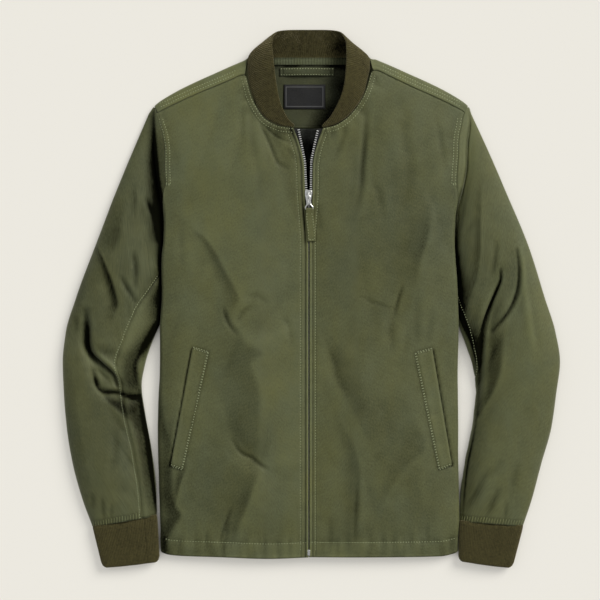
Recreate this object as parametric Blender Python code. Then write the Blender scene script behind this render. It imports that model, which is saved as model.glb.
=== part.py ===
"""Bomber jacket laid out flat on its back, zip closed to the breast.

The jacket lies on z = 0 with its hem towards -Y and its collar towards +Y. Left and right are the
wearer's, so the right front is at -X. Plan positions are worked out in millimetres as (out, y),
where out is the distance from the middle plane on either side, and become metres in the meshes.

The body is a flattened tube. Each front runs from the zip out to the side edge, turns round it and
runs on underneath to the side seam, where the back starts, doubles back inside the fold and then
crosses on the surface that the jacket lies on. Every cloth piece is a wall about a middle surface
that is a function of two parameters.
"""

import bmesh
import bpy
import numpy as np

# ---------------------------------------------------------------- driving dimensions, in mm
CLOTH = 1.2  # wall of the shell cloth
RIB = 2.6  # wall of the doubled rib knit
THIN = 1.0  # wall of lining, tape and label
GAP = 0.3  # between two pieces at a seam
LOFT = 27.0  # height of the front's middle surface at the chest
BED = 0.6  # middle surface of cloth that lies on the ground
ZIP_X = -3.4  # the zip's line
SHOULDER_FOLD = 4.2  # half height of the fold along the shoulder
UNDERARM_Y = 35.0
TIP_Y = 268.0
SLEEVE_FOLD = 4.0  # middle surface at a sleeve's two folded edges
LAID_UNDER = 6.2  # sleeve cloth where it passes under the body
HEM_Y = -357.0

# Lengths over which the front rises to its loft: from the side edge, the shoulder, its rim, the hem
EDGE_RISE, SHOULDER_RISE, RIM_RISE, HEM_RISE = 48.0, 42.0, 20.0, 70.0
HEM_SHARE = 0.25  # share of the rise that is left at the hem
SHOULDER_LEAN = 0.89  # distance from the sloping shoulder for each mm of y
NECK_LEAN = 0.5  # how steeply the shoulder's line runs on up towards the neck

SIDES = {"right": -1.0, "left": 1.0}

# Side edge of the body as laid: y, out on the right, out on the left
EDGE = np.array([
    (-357.0, 209.0, 204.8), (-311.0, 210.4, 206.4), (-266.0, 212.3, 206.8), (-180.0, 214.2, 205.2),
    (-113.0, 211.8, 203.6), (-43.0, 211.0, 204.8), (5.0, 209.2, 203.6), (50.0, 208.4, 201.3),
    (84.0, 205.8, 200.0), (110.0, 206.0, 200.8), (130.0, 206.8, 203.2), (157.0, 210.9, 210.5),
    (189.0, 215.2, 216.2), (219.0, 217.8, 217.2), (244.0, 218.4, 220.0), (268.0, 219.8, 219.4),
])

# Where a front ends, as a length round the side edge: y, right, left. Negative is above the edge,
# on the armhole seam, and positive is underneath, on the rest of the armhole and the side seam.
FRONT_END = np.array([
    (-357.0, 60.0, 60.0), (-130.0, 60.0, 60.0), (-45.0, 27.0, 27.0), (35.0, 20.0, 20.0),
    (80.0, 12.0, 12.0), (110.0, 6.0, 6.0), (131.0, 0.0, 0.0), (150.0, -6.0, -7.0),
    (161.0, -10.5, -11.0), (185.0, -12.5, -14.0), (208.0, -14.5, -13.0), (228.0, -12.5, -13.0),
    (250.0, -6.0, -10.0), (268.0, -3.0, -4.0),
])

# Height of the cloth above the side fold, and of the layer under it: y, top, under
FOLD_HEIGHT = np.array([
    (-357.0, 11.5, 0.6), (-250.0, 13.0, 0.6), (-125.0, 14.0, 0.6), (-45.0, 18.0, 8.9),
    (60.0, 18.5, 9.2), (150.0, 17.5, 9.0), (205.0, 15.0, 8.0), (240.0, 12.0, 6.0), (268.0, 9.8, 4.0),
])

# Shoulder outline, both sides alike: out, y
SHOULDER = np.array([
    (90.0, 335.0), (111.0, 326.2), (136.0, 315.0), (161.0, 303.8), (184.0, 292.6), (203.0, 281.8),
    (212.0, 276.0), (220.5, 269.0), (232.0, 258.0),
])

# Front's upper edge from the zip round the neck and along the forward shoulder seam: out, y
TOP_EDGE = {
    "right": np.array([
        (25.0, 239.0), (40.0, 240.5), (54.0, 245.0), (66.0, 253.5), (76.0, 267.5), (84.5, 286.0),
        (89.0, 303.0), (92.0, 312.5), (97.0, 312.5), (111.0, 306.6), (136.0, 296.4), (162.0, 285.4),
        (190.0, 272.8), (207.0, 264.6), (218.0, 259.0),
    ]),
    "left": np.array([
        (16.5, 238.4), (32.0, 242.0), (46.0, 250.0), (58.0, 261.5), (68.0, 275.5), (75.5, 290.0),
        (80.5, 305.0), (84.0, 317.5), (89.5, 319.6), (110.3, 310.8), (131.0, 301.0), (152.3, 291.2),
        (187.3, 275.4), (207.0, 265.2), (218.0, 258.8),
    ]),
}

# Front's zip edge: y, distance from the zip line on the right, on the left
ZIP_EDGE = np.array([
    (-357.0, 0.8, 0.8), (75.0, 0.8, 0.8), (105.0, 2.2, 1.6), (130.0, 4.4, 3.8), (150.0, 5.6, 4.8),
    (185.0, 6.6, 5.2), (200.0, 8.8, 7.2), (219.0, 14.2, 12.6), (239.0, 21.6, 19.9),
])

# Teeth line: y, distance from the zip line on the right, on the left
TEETH = np.array([
    (-357.0, 0.4, 0.4), (136.0, 0.4, 0.4), (152.0, 3.0, 2.2), (191.0, 5.0, 2.8), (204.0, 7.4, 5.0),
    (236.0, 13.6, 12.0), (239.0, 14.2, 12.6),
])

# Hem: out, y on the right, y on the left
HEM = np.array([
    (0.0, -361.2, -361.0), (60.0, -363.4, -361.4), (130.0, -361.0, -361.0), (180.0, -359.4, -360.0),
    (198.0, -357.8, -356.6), (210.0, -354.2, -351.6),
])

# Sleeves below the armhole, a row for each section: outer edge, inner edge, height, and the share
# of the section's width at which the front seam runs (over 1 is on the underside)
SLEEVES = {
    "right": np.array([
        # outer out, outer y, inner out, inner y, height, seam
        (227.2, 259.0, 196.0, 32.0, 9.5, 0.94),
        (242.6, 222.6, 197.0, 26.0, 15.0, 0.91),
        (270.6, 155.4, 199.0, 15.0, 22.0, 0.85),
        (302.8, 71.4, 204.0, -8.0, 26.0, 0.77),
        (328.0, 4.2, 211.0, -31.0, 26.5, 0.70),
        (343.4, -46.2, 222.0, -57.0, 26.0, 0.69),
        (347.6, -88.2, 233.0, -90.0, 25.5, 0.66),
        (346.2, -130.2, 238.2, -122.0, 24.5, 0.76),
        (342.0, -180.6, 232.8, -163.0, 25.0, 0.765),
        (333.6, -231.0, 224.4, -210.0, 25.0, 0.785),
        (319.6, -281.4, 218.1, -262.0, 22.0, 0.785),
        (305.6, -319.2, 216.6, -303.6, 17.5, 0.775),
    ]),
    "left": np.array([
        (223.7, 259.0, 192.0, 32.0, 9.5, 0.96),
        (240.5, 222.6, 193.0, 26.0, 15.0, 0.95),
        (269.9, 155.4, 195.0, 14.0, 22.0, 0.94),
        (304.9, 71.4, 199.0, -12.0, 26.0, 0.93),
        (325.9, 4.2, 207.0, -37.0, 26.5, 0.92),
        (341.3, -46.2, 218.0, -67.0, 26.0, 0.94),
        (347.7, -88.2, 227.5, -97.0, 26.0, 0.98),
        (342.7, -130.2, 231.2, -130.0, 25.5, 1.02),
        (335.7, -180.6, 227.6, -168.0, 25.0, 1.04),
        (321.5, -231.0, 216.6, -226.0, 24.5, 1.05),
        (308.2, -281.4, 209.8, -272.0, 22.0, 1.05),
        (296.0, -318.4, 208.4, -311.2, 17.5, 1.05),
    ]),
}
BACK_SEAM = 0.72  # share of the width at which a sleeve's back seam runs, underneath

# Rib cuffs: outer and inner corner at the sleeve, then at the open end
CUFFS = {
    "right": ((304.6, -320.2), (216.8, -304.6), (290.6, -376.5), (213.4, -368.4)),
    "left": ((295.2, -319.4), (208.4, -312.2), (280.2, -376.9), (207.2, -367.4)),
}
CUFF_HEIGHT = (16.5, 14.0)  # middle surface at the sleeve and at the open end

# Collar, a row for each station from the zip to the middle of the back:
# seam out, y, height, free edge out, y, height, how far the band bows outwards between them
COLLAR = {
    "right": np.array([
        (24.6, 240.6, 25.8, 23.8, 243.2, 26.8, 0.0),
        (38.5, 241.9, 25.8, 31.6, 250.6, 28.6, 0.5),
        (53.6, 247.0, 25.4, 39.6, 265.0, 31.5, 1.5),
        (66.2, 256.0, 24.6, 44.6, 279.0, 33.5, 2.5),
        (79.0, 277.4, 22.4, 48.0, 296.0, 35.0, 3.0),
        (86.6, 302.0, 18.8, 51.0, 317.0, 35.6, 3.5),
        (88.6, 322.0, 15.6, 53.0, 337.0, 33.5, 4.5),
        (88.4, 334.5, 13.0, 54.6, 356.0, 28.0, 5.5),
        (84.0, 340.6, 8.2, 53.0, 368.0, 18.5, 2.4),
        (75.0, 339.4, 2.8, 46.0, 374.6, 9.5, 2.4),
        (52.0, 337.4, 1.6, 33.0, 376.6, 6.5, 0.6),
        (25.0, 337.1, 1.6, 17.0, 377.0, 6.0, 0.0),
    ]),
    "left": np.array([
        (16.0, 240.0, 25.8, 15.4, 242.6, 26.8, 0.0),
        (30.5, 243.4, 25.6, 26.0, 253.8, 28.6, 0.5),
        (45.2, 251.4, 25.2, 36.0, 270.6, 31.5, 1.5),
        (59.6, 265.6, 24.2, 42.4, 286.0, 33.5, 2.5),
        (73.0, 287.6, 21.4, 46.4, 304.0, 35.0, 3.0),
        (78.6, 309.0, 17.6, 48.0, 320.0, 35.2, 3.5),
        (81.6, 324.0, 14.8, 48.8, 340.0, 33.5, 4.5),
        (81.6, 334.5, 12.6, 48.6, 355.0, 28.0, 3.5),
        (76.0, 340.2, 7.8, 45.0, 367.4, 18.5, 0.8),
        (67.0, 339.4, 2.8, 39.0, 374.0, 9.5, 1.4),
        (48.0, 337.4, 1.6, 29.0, 376.4, 6.5, 0.4),
        (23.0, 337.1, 1.6, 14.0, 377.0, 6.0, 0.0),
    ]),
}

# Largest folds, as soft troughs along an arc of three points: out and y of each, width, depth
FOLDS = {
    "right_sleeve": np.array([
        (314.0, -21.0, 309.6, -77.0, 269.0, -122.0, 9.0, 9.0),
        (304.0, -106.0, 279.0, -134.0, 240.0, -134.0, 8.0, 7.0),
        (291.0, 43.0, 284.0, 12.0, 272.0, -15.0, 10.0, 3.0),
    ]),
    "left_sleeve": np.array([
        (263.0, 38.0, 250.0, -20.0, 235.0, -108.0, 9.0, 8.5),
        (290.0, 54.0, 286.0, -4.0, 253.0, -44.0, 8.0, 4.5),
        (271.0, -42.0, 262.0, -68.0, 245.0, -97.0, 8.0, 4.0),
    ]),
    "right_front": np.array([
        (111.0, -190.0, 86.0, -218.0, 62.0, -240.0, 16.0, 2.4),
        (145.0, 77.0, 126.0, 40.0, 104.0, 6.0, 18.0, 1.8),
        (77.0, 254.0, 56.0, 218.0, 40.0, 184.0, 13.0, 2.2),
    ]),
    "left_front": np.array([
        (77.0, 264.0, 75.0, 214.0, 64.0, 134.0, 16.0, 2.4),
        (128.0, 11.0, 122.0, -10.0, 114.0, -30.0, 16.0, 1.6),
        (24.0, -67.0, 30.0, -92.0, 38.0, -113.0, 16.0, 1.8),
    ]),
}

# Welts: the four corners as (out, y): upper zip side, upper outer, lower outer, lower zip side
WELTS = {
    "right": ((143.2, -73.6), (165.6, -66.8), (196.7, -233.2), (179.9, -238.8)),
    "left": ((144.4, -74.8), (168.8, -68.4), (196.6, -232.4), (178.2, -238.4)),
}

# Places of the rows of faces down the body: y
ARMHOLE_ROWS = (258.0, 243.0, 226.0, 207.0, 186.0, 165.0, 148.0, 131.0, 112.0, 88.0, 62.0, 35.0)
LOWER_ROWS = (5.0, -25.0, -50.0, -90.0, -130.0, -180.0, -240.0, -300.0)
BACK_ROWS = (240.0, 195.0, 145.0, 88.0, 62.0, 48.0, 35.0, 20.0) + LOWER_ROWS

# A front's columns: shares of its plate from the zip, then how many round the side edge and under it
PLATE_COLUMNS = (0.0, 0.1, 0.2, 0.3, 0.4, 0.54, 0.68, 0.84, 1.0)
TURN_COLUMNS = 4
WRAP_COLUMNS = 2

# The back's section from the side seam: doubled back outwards inside the side fold, then down and
# inwards: distance out from the seam, share of the doubling, height over the seam
TUCK = np.array([
    (0.0, 0.0, 0.0), (-1.2, 0.0, 0.0), (-2.2, 0.0, 1.3), (-1.2, 0.0, 2.6), (1.0, 1.0, 2.7),
    (2.2, 1.0, 3.9), (1.0, 1.0, 5.2), (-3.0, 0.0, 5.2), (-9.0, 0.0, 3.6), (-18.0, 0.0, 1.2),
    (-28.0, 0.0, 0.0),
])
DOUBLED = (2.0, 42.0)  # how far it doubles back at the underarm and at the hem
BACK_COLUMNS = (0.86, 0.68, 0.56, 0.53, 0.50, 0.45, 0.25, 0.0)  # shares of the width, to the middle
NECK_COLUMN = 4  # the one of these that runs up to the neck's corner
NECK_SIDE = {"right": 94.0, "left": 87.0}  # out of the neck's corner on the forward shoulder seam
NECK_TURN = (-11.0, 0.5)  # from that corner, where the back's edge leaves the neck for the shoulder seam
NECK_BACK = 5.4  # how far the back's neck edge lies beyond the turned shoulder
# The back's rows over the shoulder fold: how far each spreads outwards at the shoulder's tip
SHOULDER_SPREAD = (-2.9, -1.4, 0.2, 0.9, 1.1, 0.7, 0.0)

TIP = (220.8, 268.6, 5.0)  # where a sleeve's outer fold starts, at the end of the shoulder fold
# Places of a sleeve's rings below its cap, counted in rows of its table
RINGS = np.array((0.0, 0.58, 1.16, 1.74, 2.32, 2.9, 3.5, 4.2, 5.0, 5.8, 6.6, 7.5, 8.6, 9.8, 11.0))
SEAM_STEP = 0.04  # angle of the first step away from a sleeve seam
PARTING = 0.009  # angle between a seam's line and each piece
TOP_UNDER = (0.0, 0.35, 0.75)  # shares of the top piece's part underneath
UNDER_SHARES = (0.0, 0.03, 0.2, 0.4, 0.6, 0.8, 1.0)
CUFF_POINTS = (16, 4)  # round a cuff and along it
COLLAR_ACROSS = (0.0, 0.25, 0.5, 0.75, 1.0)

# Back armhole on the ground: y, out on the right, on the left
BACK_ARMHOLE = np.array([
    (35.0, 186.5, 182.6), (62.0, 190.0, 186.0), (88.0, 192.6, 189.0), (131.0, 195.0, 193.5),
    (165.0, 200.0, 199.5), (207.0, 206.0, 206.0), (243.0, 212.0, 212.0), (268.0, 219.0, 219.0),
])

# What lies inside the neck, as (low x, high x, low y, high y)
FACING = (-79.0, 71.0, 239.4, 336.0)
LINING = (-72.0, 62.0, 96.0, 239.0)
NECK_TAPE = (-60.0, 53.0, 327.0, 336.6)
HANGER_LOOP = (-43.8, 31.9, 310.8, 326.0)
LABEL = (-38.7, 19.8, 266.3, 300.6)

LAYER = 1.4  # between the middle surfaces of two thin layers, one on the other

WELT = 1.6  # thickness of a pocket welt
WELT_UP = 2.1  # middle surface of a welt above that of the front

TAPE_WIDTH = 11.0  # each zip tape, from its teeth outwards
TAPE_DOWN = 1.6  # middle surface of a zip tape below that of the front

SLIDER_X = -3.8
SLIDER_HALF = (4.6, 5.2, 3.6)  # half width of its plates at the upper end, the shoulders, the lower
SLIDER_ENDS = (136.6, 151.8)
# The slider's half outline from its lower end: share of half width (upper, shoulder, lower), out, up
SLIDER_OUTLINE = ((2, -0.9, 0.0), (2, 0.0, 0.8), (2, 0.5, 3.4), (1, 0.0, 10.2), (0, 0.2, 13.6),
                  (0, -1.4, 15.2))
PLATES = ((23.0, 24.2), (28.1, 29.5))  # heights of the slider's lower and upper plate
BRIDGE = (1.1, 146.8, 150.6)  # half width and ends of the post between the plates
CROWN = (138.8, 148.8)  # the arch on the slider that holds the pull
CROWN_TOP = 33.6
CROWN_WALL = 1.1
CROWN_HALF = 1.0  # half width
SEATED = 0.5  # how far the post runs into each plate
PULL_AXIS = (143.4, 31.0)  # hinge axis of the pull: y, height
PULL_WIRE = 1.5  # diameter of the pull's metal
PULL_SLOPE = 0.035  # how steeply the pull lies down towards the cloth
# Half of the pull's loop: distance from its middle, y
PULL_LOOP = ((2.7, 143.4), (3.2, 139.6), (3.6, 133.4), (4.6, 130.2), (5.6, 127.8), (5.6, 125.6),
             (4.9, 124.6))
TAB_X = -0.6
TAB = (9.0, 11.2)  # width round the wire and below it
TAB_TURN = 1.75  # radius of the tab's turn round the wire
# The tab's two layers from its lower end up to the turn: y, height of the lower one, of the upper one
TAB_LAYERS = np.array([(80.4, 28.4, 29.8), (100.0, 28.4, 30.4), (117.5, 28.4, 31.36)])

BOTTOM_STOP = (5.6, -358.6, -350.0, 1.4)  # width, ends and the cut of its corners
STOP_THICKNESS = 1.2

# Finish of each kind: colour, roughness, metallic
COLOURS = {
    "shell": ((0.094, 0.102, 0.048), 0.62, 0.0),
    "rib": ((0.052, 0.044, 0.020), 0.9, 0.0),
    "lining": ((0.024, 0.026, 0.020), 0.7, 0.0),
    "tape": ((0.012, 0.012, 0.011), 0.8, 0.0),
    "label": ((0.016, 0.016, 0.015), 0.7, 0.0),
    "metal": ((0.62, 0.62, 0.60), 0.32, 1.0),
}


# ---------------------------------------------------------------- curves and heights
def smooth(table, x, column=1):
    """Value at x of a curve through a table's rows: cubic pieces whose slopes never overshoot."""
    xs, ys = table[:, 0], table[:, column]
    step = np.diff(xs)
    rise = np.diff(ys) / step
    slope = np.concatenate([[rise[0]], np.zeros(len(xs) - 2), [rise[-1]]])
    same = rise[1:] * rise[:-1] > 0
    slope[1:-1][same] = 2 * rise[1:][same] * rise[:-1][same] / (rise[1:] + rise[:-1])[same]
    x = np.clip(x, xs[0], xs[-1])
    i = np.clip(np.searchsorted(xs, x) - 1, 0, len(xs) - 2)
    t = (x - xs[i]) / step[i]
    a, b = slope[i] * step[i], slope[i + 1] * step[i]
    low, high = ys[i], ys[i + 1]
    return low + t * (a + t * (3 * (high - low) - 2 * a - b + t * (a + b - 2 * (high - low))))


def side_column(side):
    return 1 if side == "right" else 2


def edge_out(side, y):
    return smooth(EDGE, y, side_column(side))


def ease(x, low, high):
    """0 below low, 1 above high, and an S curve between them."""
    t = np.clip((x - low) / (high - low), 0.0, 1.0)
    return t * t * (3.0 - 2.0 * t)


def troughs(name, out, y):
    """Sum of the named folds: each is a soft trough, deepest halfway and fading at both ends."""
    total = np.zeros(np.broadcast(out, y).shape)
    along = np.linspace(0.0, 1.0, 13)
    for x0, y0, x1, y1, x2, y2, width, depth in FOLDS[name]:
        bend = (1 - along) ** 2, 2 * along * (1 - along), along**2
        mid_x, mid_y = 2 * x1 - (x0 + x2) / 2, 2 * y1 - (y0 + y2) / 2
        px = bend[0] * x0 + bend[1] * mid_x + bend[2] * x2
        py = bend[0] * y0 + bend[1] * mid_y + bend[2] * y2
        far = (out[..., None] - px) ** 2 + (y[..., None] - py) ** 2
        fade = np.sin(np.pi * (0.08 + 0.84 * along)) ** 0.7
        total += depth * (np.exp(-far / width**2) * fade).max(axis=-1)
    return total


def front_height(side, out, y):
    """Middle surface of a front: low at the side fold, the shoulder and the hem, flat at the chest."""
    inside = np.maximum(edge_out(side, y) - out, 0.0)
    towards_neck = NECK_LEAN * np.maximum(SHOULDER[0, 0] - out, 0.0)
    below = np.maximum(SHOULDER_LEAN * (smooth(SHOULDER, out) + towards_neck - y), 0.0)
    above_hem = np.maximum(y - HEM_Y, 0.0)
    shoulder_top = BED + 2 * SHOULDER_FOLD
    rim = shoulder_top + (smooth(FOLD_HEIGHT, y, 1) - shoulder_top) * (1 - np.exp(-below / RIM_RISE))
    rise = (1 - np.exp(-inside / EDGE_RISE)) * (1 - np.exp(-below / SHOULDER_RISE))
    rise = rise * (HEM_SHARE + (1 - HEM_SHARE) * (1 - np.exp(-above_hem / HEM_RISE)))
    return rim + (LOFT - rim) * rise - troughs(side + "_front", out, y)


def fold_radius(y):
    """Half the plan width of the turn round the side edge."""
    return 4.0 + 2.0 * ease(-y, 0.0, 120.0)


def round_edge(side, y, along):
    """Point (out, height) of the body's section at y, a length along from the side edge.

    Above the edge it follows the front's height, then half an ellipse, then the layer underneath.
    """
    edge, r = edge_out(side, y), fold_radius(y)
    under = smooth(FOLD_HEIGHT, y, 2)
    top = front_height(side, edge - r, y)
    half = np.pi * (r + (top - under) / 2) / 2
    a = along + half / 2
    turn = np.pi * np.clip(a / half, 0.0, 1.0)
    out = edge - r + r * np.sin(turn) - np.maximum(a - half, 0.0) + np.minimum(a, 0.0)
    height = (top + under) / 2 + (top - under) / 2 * np.cos(turn)
    return out, np.where(a < 0, front_height(side, out, y), height)


def turn_ends(side, y):
    """Lengths along the section, from the side edge, at which the turn starts and ends."""
    r = fold_radius(y)
    top = front_height(side, edge_out(side, y) - r, y)
    half = np.pi * (r + (top - smooth(FOLD_HEIGHT, y, 2)) / 2) / 2
    return -half / 2, half / 2


# ---------------------------------------------------------------- meshes
def object_from(name, points, faces, colour, origin=(0.0, 0.0, 0.0)):
    """A mesh object from points in mm and faces of three or four corners, faces turned outwards."""
    mesh = bpy.data.meshes.new(name)
    local = (np.asarray(points) - np.asarray(origin)) / 1000.0
    mesh.from_pydata(local.tolist(), [], [tuple(f) for f in faces])
    obj = bpy.data.objects.new(name, mesh)
    obj.location = [value / 1000.0 for value in origin]
    bpy.context.scene.collection.objects.link(obj)
    work = bmesh.new()
    work.from_mesh(mesh)
    bmesh.ops.triangulate(work, faces=work.faces[:])
    if work.calc_volume(signed=True) < 0:
        bmesh.ops.reverse_faces(work, faces=work.faces[:])
    work.to_mesh(mesh)
    work.free()
    mesh.shade_smooth()
    mesh.set_sharp_from_angle(angle=0.9)
    mesh.materials.append(finish(name, colour))
    return obj


def finish(name, kind):
    """A sub-part's own Principled material, in the finish of its kind of cloth or metal."""
    material = bpy.data.materials.new(name)
    colour, roughness, metallic = COLOURS[kind]
    material.use_nodes = True
    shader = material.node_tree.nodes["Principled BSDF"]
    shader.inputs["Base Color"].default_value = (*colour, 1.0)
    shader.inputs["Roughness"].default_value = roughness
    shader.inputs["Metallic"].default_value = metallic
    return material


def normals(grid, ring):
    """Unit normals of a grid of points; a ring's last column meets its first."""
    if ring:
        across = np.roll(grid, -1, axis=1) - np.roll(grid, 1, axis=1)
    else:
        across = np.gradient(grid, axis=1)
    down = np.gradient(grid, axis=0)
    found = np.cross(across, down)
    return found / np.linalg.norm(found, axis=2, keepdims=True)


def wall(name, grid, thickness, colour, ring=False, origin=(0.0, 0.0, 0.0)):
    """A closed wall about a grid of points: both faces, moved apart, and the rim between them."""
    rows, columns = grid.shape[:2]
    shift = normals(grid, ring) * thickness / 2
    points = np.concatenate([(grid + shift).reshape(-1, 3), (grid - shift).reshape(-1, 3)])
    index = np.arange(rows * columns).reshape(rows, columns)
    if ring:
        index = np.concatenate([index, index[:, :1]], axis=1)
    a, b, c, d = index[:-1, :-1], index[:-1, 1:], index[1:, 1:], index[1:, :-1]
    faces = np.stack([a, b, c, d], axis=-1).reshape(-1, 4)
    far = rows * columns
    sides = [index[0], index[-1][::-1]]
    if not ring:
        sides += [index[::-1, 0], index[:, -1]]
    rim = [np.stack([s[1:], s[:-1], s[:-1] + far, s[1:] + far], axis=1) for s in sides]
    every = np.concatenate([faces, faces[:, ::-1] + far, *rim])
    return object_from(name, points, every, colour, origin)


def placed(side, out, y, height):
    """Grid of points from plan position and height."""
    out, y, height = np.broadcast_arrays(out, y, height)
    return np.stack([SIDES[side] * out, y, height], axis=-1)


# ---------------------------------------------------------------- body
def front_grid(side):
    """A front's middle surface: columns from the zip round the side edge to the side seam."""
    column = side_column(side)
    plate = np.array(PLATE_COLUMNS)
    zip_out = SIDES[side] * ZIP_X
    count = len(plate) + TURN_COLUMNS + WRAP_COLUMNS

    def section(y):
        """out and height of every column on the row that passes each column at y."""
        stop = smooth(FRONT_END, y, column) - GAP / 2
        start, end = turn_ends(side, y)
        first = np.minimum(start, stop - 4.0)
        second = np.minimum(end, stop - 2.0)
        reach = np.empty(y.shape)
        n, m = len(plate), len(plate) + TURN_COLUMNS
        turn = np.arange(1, TURN_COLUMNS + 1) / TURN_COLUMNS
        wrap = np.arange(1, WRAP_COLUMNS + 1) / WRAP_COLUMNS
        reach[:, n:m] = first[:, n:m] + (second - first)[:, n:m] * turn
        reach[:, m:] = second[:, m:] + (stop - second)[:, m:] * wrap
        reach[:, :n] = first[:, :n]
        out, height = round_edge(side, y, reach)
        inner = zip_out + smooth(ZIP_EDGE, y[:, :n], column)
        out[:, :n] = inner + (out[:, :n] - inner) * plate
        height[:, :n] = front_height(side, out[:, :n], y[:, :n])
        return out, height

    top = np.full((1, count), ARMHOLE_ROWS[0])
    for _ in range(12):
        out, _height = section(top)
        top = 0.5 * top + 0.5 * np.minimum(smooth(TOP_EDGE[side], out), 400.0)
    bottom = smooth(HEM, section(np.full((1, count), HEM_Y))[0], column)
    rows = np.array((top[0, -1],) + ARMHOLE_ROWS[1:] + LOWER_ROWS + (bottom[0, -1],))
    share = (rows[0] - rows) / (rows[0] - rows[-1])
    y = top + (bottom - top) * share[:, None]
    out, height = section(y)
    return placed(side, out, y, height)


def make_fronts():
    for side in SIDES:
        wall(f"front_{side}", front_grid(side), CLOTH, "shell")


def back_section(side, y):
    """out and height of each of the back's columns at y, an array with a column for each."""
    column = side_column(side)
    count = len(TUCK)
    beside = y[:, :count]
    seam_out, seam_up = round_edge(side, beside, smooth(FRONT_END, beside, column) + GAP / 2)
    doubled = DOUBLED[0] + (DOUBLED[1] - DOUBLED[0]) * ease(-beside, 50.0, 130.0)
    inward = np.arange(count)
    fall = ease(inward, 7.0, 10.0)
    undone = ease(beside, -30.0, 12.0)
    turned = TUCK[:, 0] + TUCK[:, 1] * doubled
    out = seam_out + turned * (1 - undone) - 1.6 * inward * undone - 4.2 * ease(beside, 5.0, 30.0)
    up = (seam_up + TUCK[:, 2]) * (1 - fall) + BED * fall
    flat = smooth(BACK_ARMHOLE, beside, column) - 0.9 - 2.8 * inward
    share = ease(beside, 25.0, 62.0)
    out = out * (1 - share) + flat * share
    up = up * (1 - share) + BED * share
    inner = np.array(BACK_COLUMNS)
    neck, corner = inner[NECK_COLUMN], NECK_SIDE[side]
    beyond = corner + (out[:, -1:] - corner) * (inner - neck) / (1 - neck)
    inner_out = np.where(inner > neck, beyond, corner * inner / neck)
    return (np.concatenate([out, inner_out], axis=1),
            np.concatenate([up, np.full(inner_out.shape, BED)], axis=1))


def back_half(side):
    """One half of the back's middle surface: columns from the side seam in to the middle.

    The first rows start on the forward shoulder seam, at the front's height, and turn over the
    shoulder fold to the ground. Towards the neck they start further on, on the neck seam.
    """
    columns = len(TUCK) + len(BACK_COLUMNS)
    first = back_section(side, np.full((1, columns), TIP_Y))[0]
    first = np.minimum(first, first[0, 0] - 0.4 * np.arange(columns))
    out = first + np.array(SHOULDER_SPREAD)[:, None] * ease(first, 196.0, 216.0)
    step = np.arange(7.0)[:, None]
    taken = ease(first - NECK_SIDE[side], *NECK_TURN)
    progress = 6.0 * (1 - taken) + step * taken
    turn = np.clip((progress - 2.0) / 4.0, 0.0, 1.0) * np.pi
    before = np.clip(progress / 2.0, 0.0, 1.0)
    low_y = smooth(TOP_EDGE[side], out) + 1.5 * GAP
    turn_y = smooth(SHOULDER, out) - SHOULDER_FOLD
    y = low_y + (turn_y - low_y) * before + SHOULDER_FOLD * np.sin(turn)
    crest = front_height(side, out, turn_y)
    height = np.where(before < 1, front_height(side, out, y),
                      (crest + BED) / 2 + (crest - BED) / 2 * np.cos(turn))
    y += (NECK_BACK - 0.7 * step) * (1 - taken)

    bottom = back_section(side, np.full((1, columns), HEM_Y))[0]
    hem = smooth(HEM, bottom, side_column(side))
    top = y[-1:]
    rows = np.array(BACK_ROWS + (hem[0, 0],))[:, None]
    share = (top[0, 0] - rows) / (top[0, 0] - hem[0, 0])
    body_y = top + (hem - top) * share
    body_out, body_up = back_section(side, body_y)
    return placed(side, np.concatenate([out, body_out]), np.concatenate([y, body_y]),
                  np.concatenate([height, body_up]))


def make_back():
    right, left = back_half("right"), back_half("left")
    wall("back", np.concatenate([right, left[:, -2::-1]], axis=1), CLOTH, "shell")


# ---------------------------------------------------------------- sleeves
def sleeve_ring(side, angle, at):
    """Point of a sleeve below its cap: angle 0 is the outer fold, pi the inner one, at counts rows.

    The section is half an ellipse above and the ground below, pressed down where the body is on it.
    """
    table = SLEEVES[side]
    count = np.arange(len(table), dtype=float)[:, None]
    table = np.concatenate([count, table], axis=1)
    outer_out, outer_y, inner_out, inner_y, loft = (smooth(table, at, k) for k in range(1, 6))
    share = (1 - np.cos(angle)) / 2
    above = angle <= np.pi
    bow = np.where(above, 24.0 * share * (1 - share) * np.exp(-((at / 0.9) ** 2)), 0.0)
    out = outer_out + (inner_out - outer_out) * share + bow
    y = outer_y + (inner_y - outer_y) * share
    arch = np.abs(np.sin(angle))
    top = SLEEVE_FOLD + (loft - SLEEVE_FOLD) * arch**0.8
    top = top - troughs(side + "_sleeve", out, y) * arch
    beside = np.maximum(out - edge_out(side, y), 0.0)
    room = LAID_UNDER + 24.0 * (1 - np.exp(-beside / 16.0)) + 40.0 * ease(-y, 25.0, 90.0)
    top = -2.0 * np.log(np.exp(-top / 2.0) + np.exp(-room / 2.0))
    bottom = BED + (SLEEVE_FOLD - BED) * (1 - np.minimum(1.6 * arch, 1.0)) ** 2
    return out, y, np.where(above, np.maximum(top, bottom), bottom)


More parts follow.
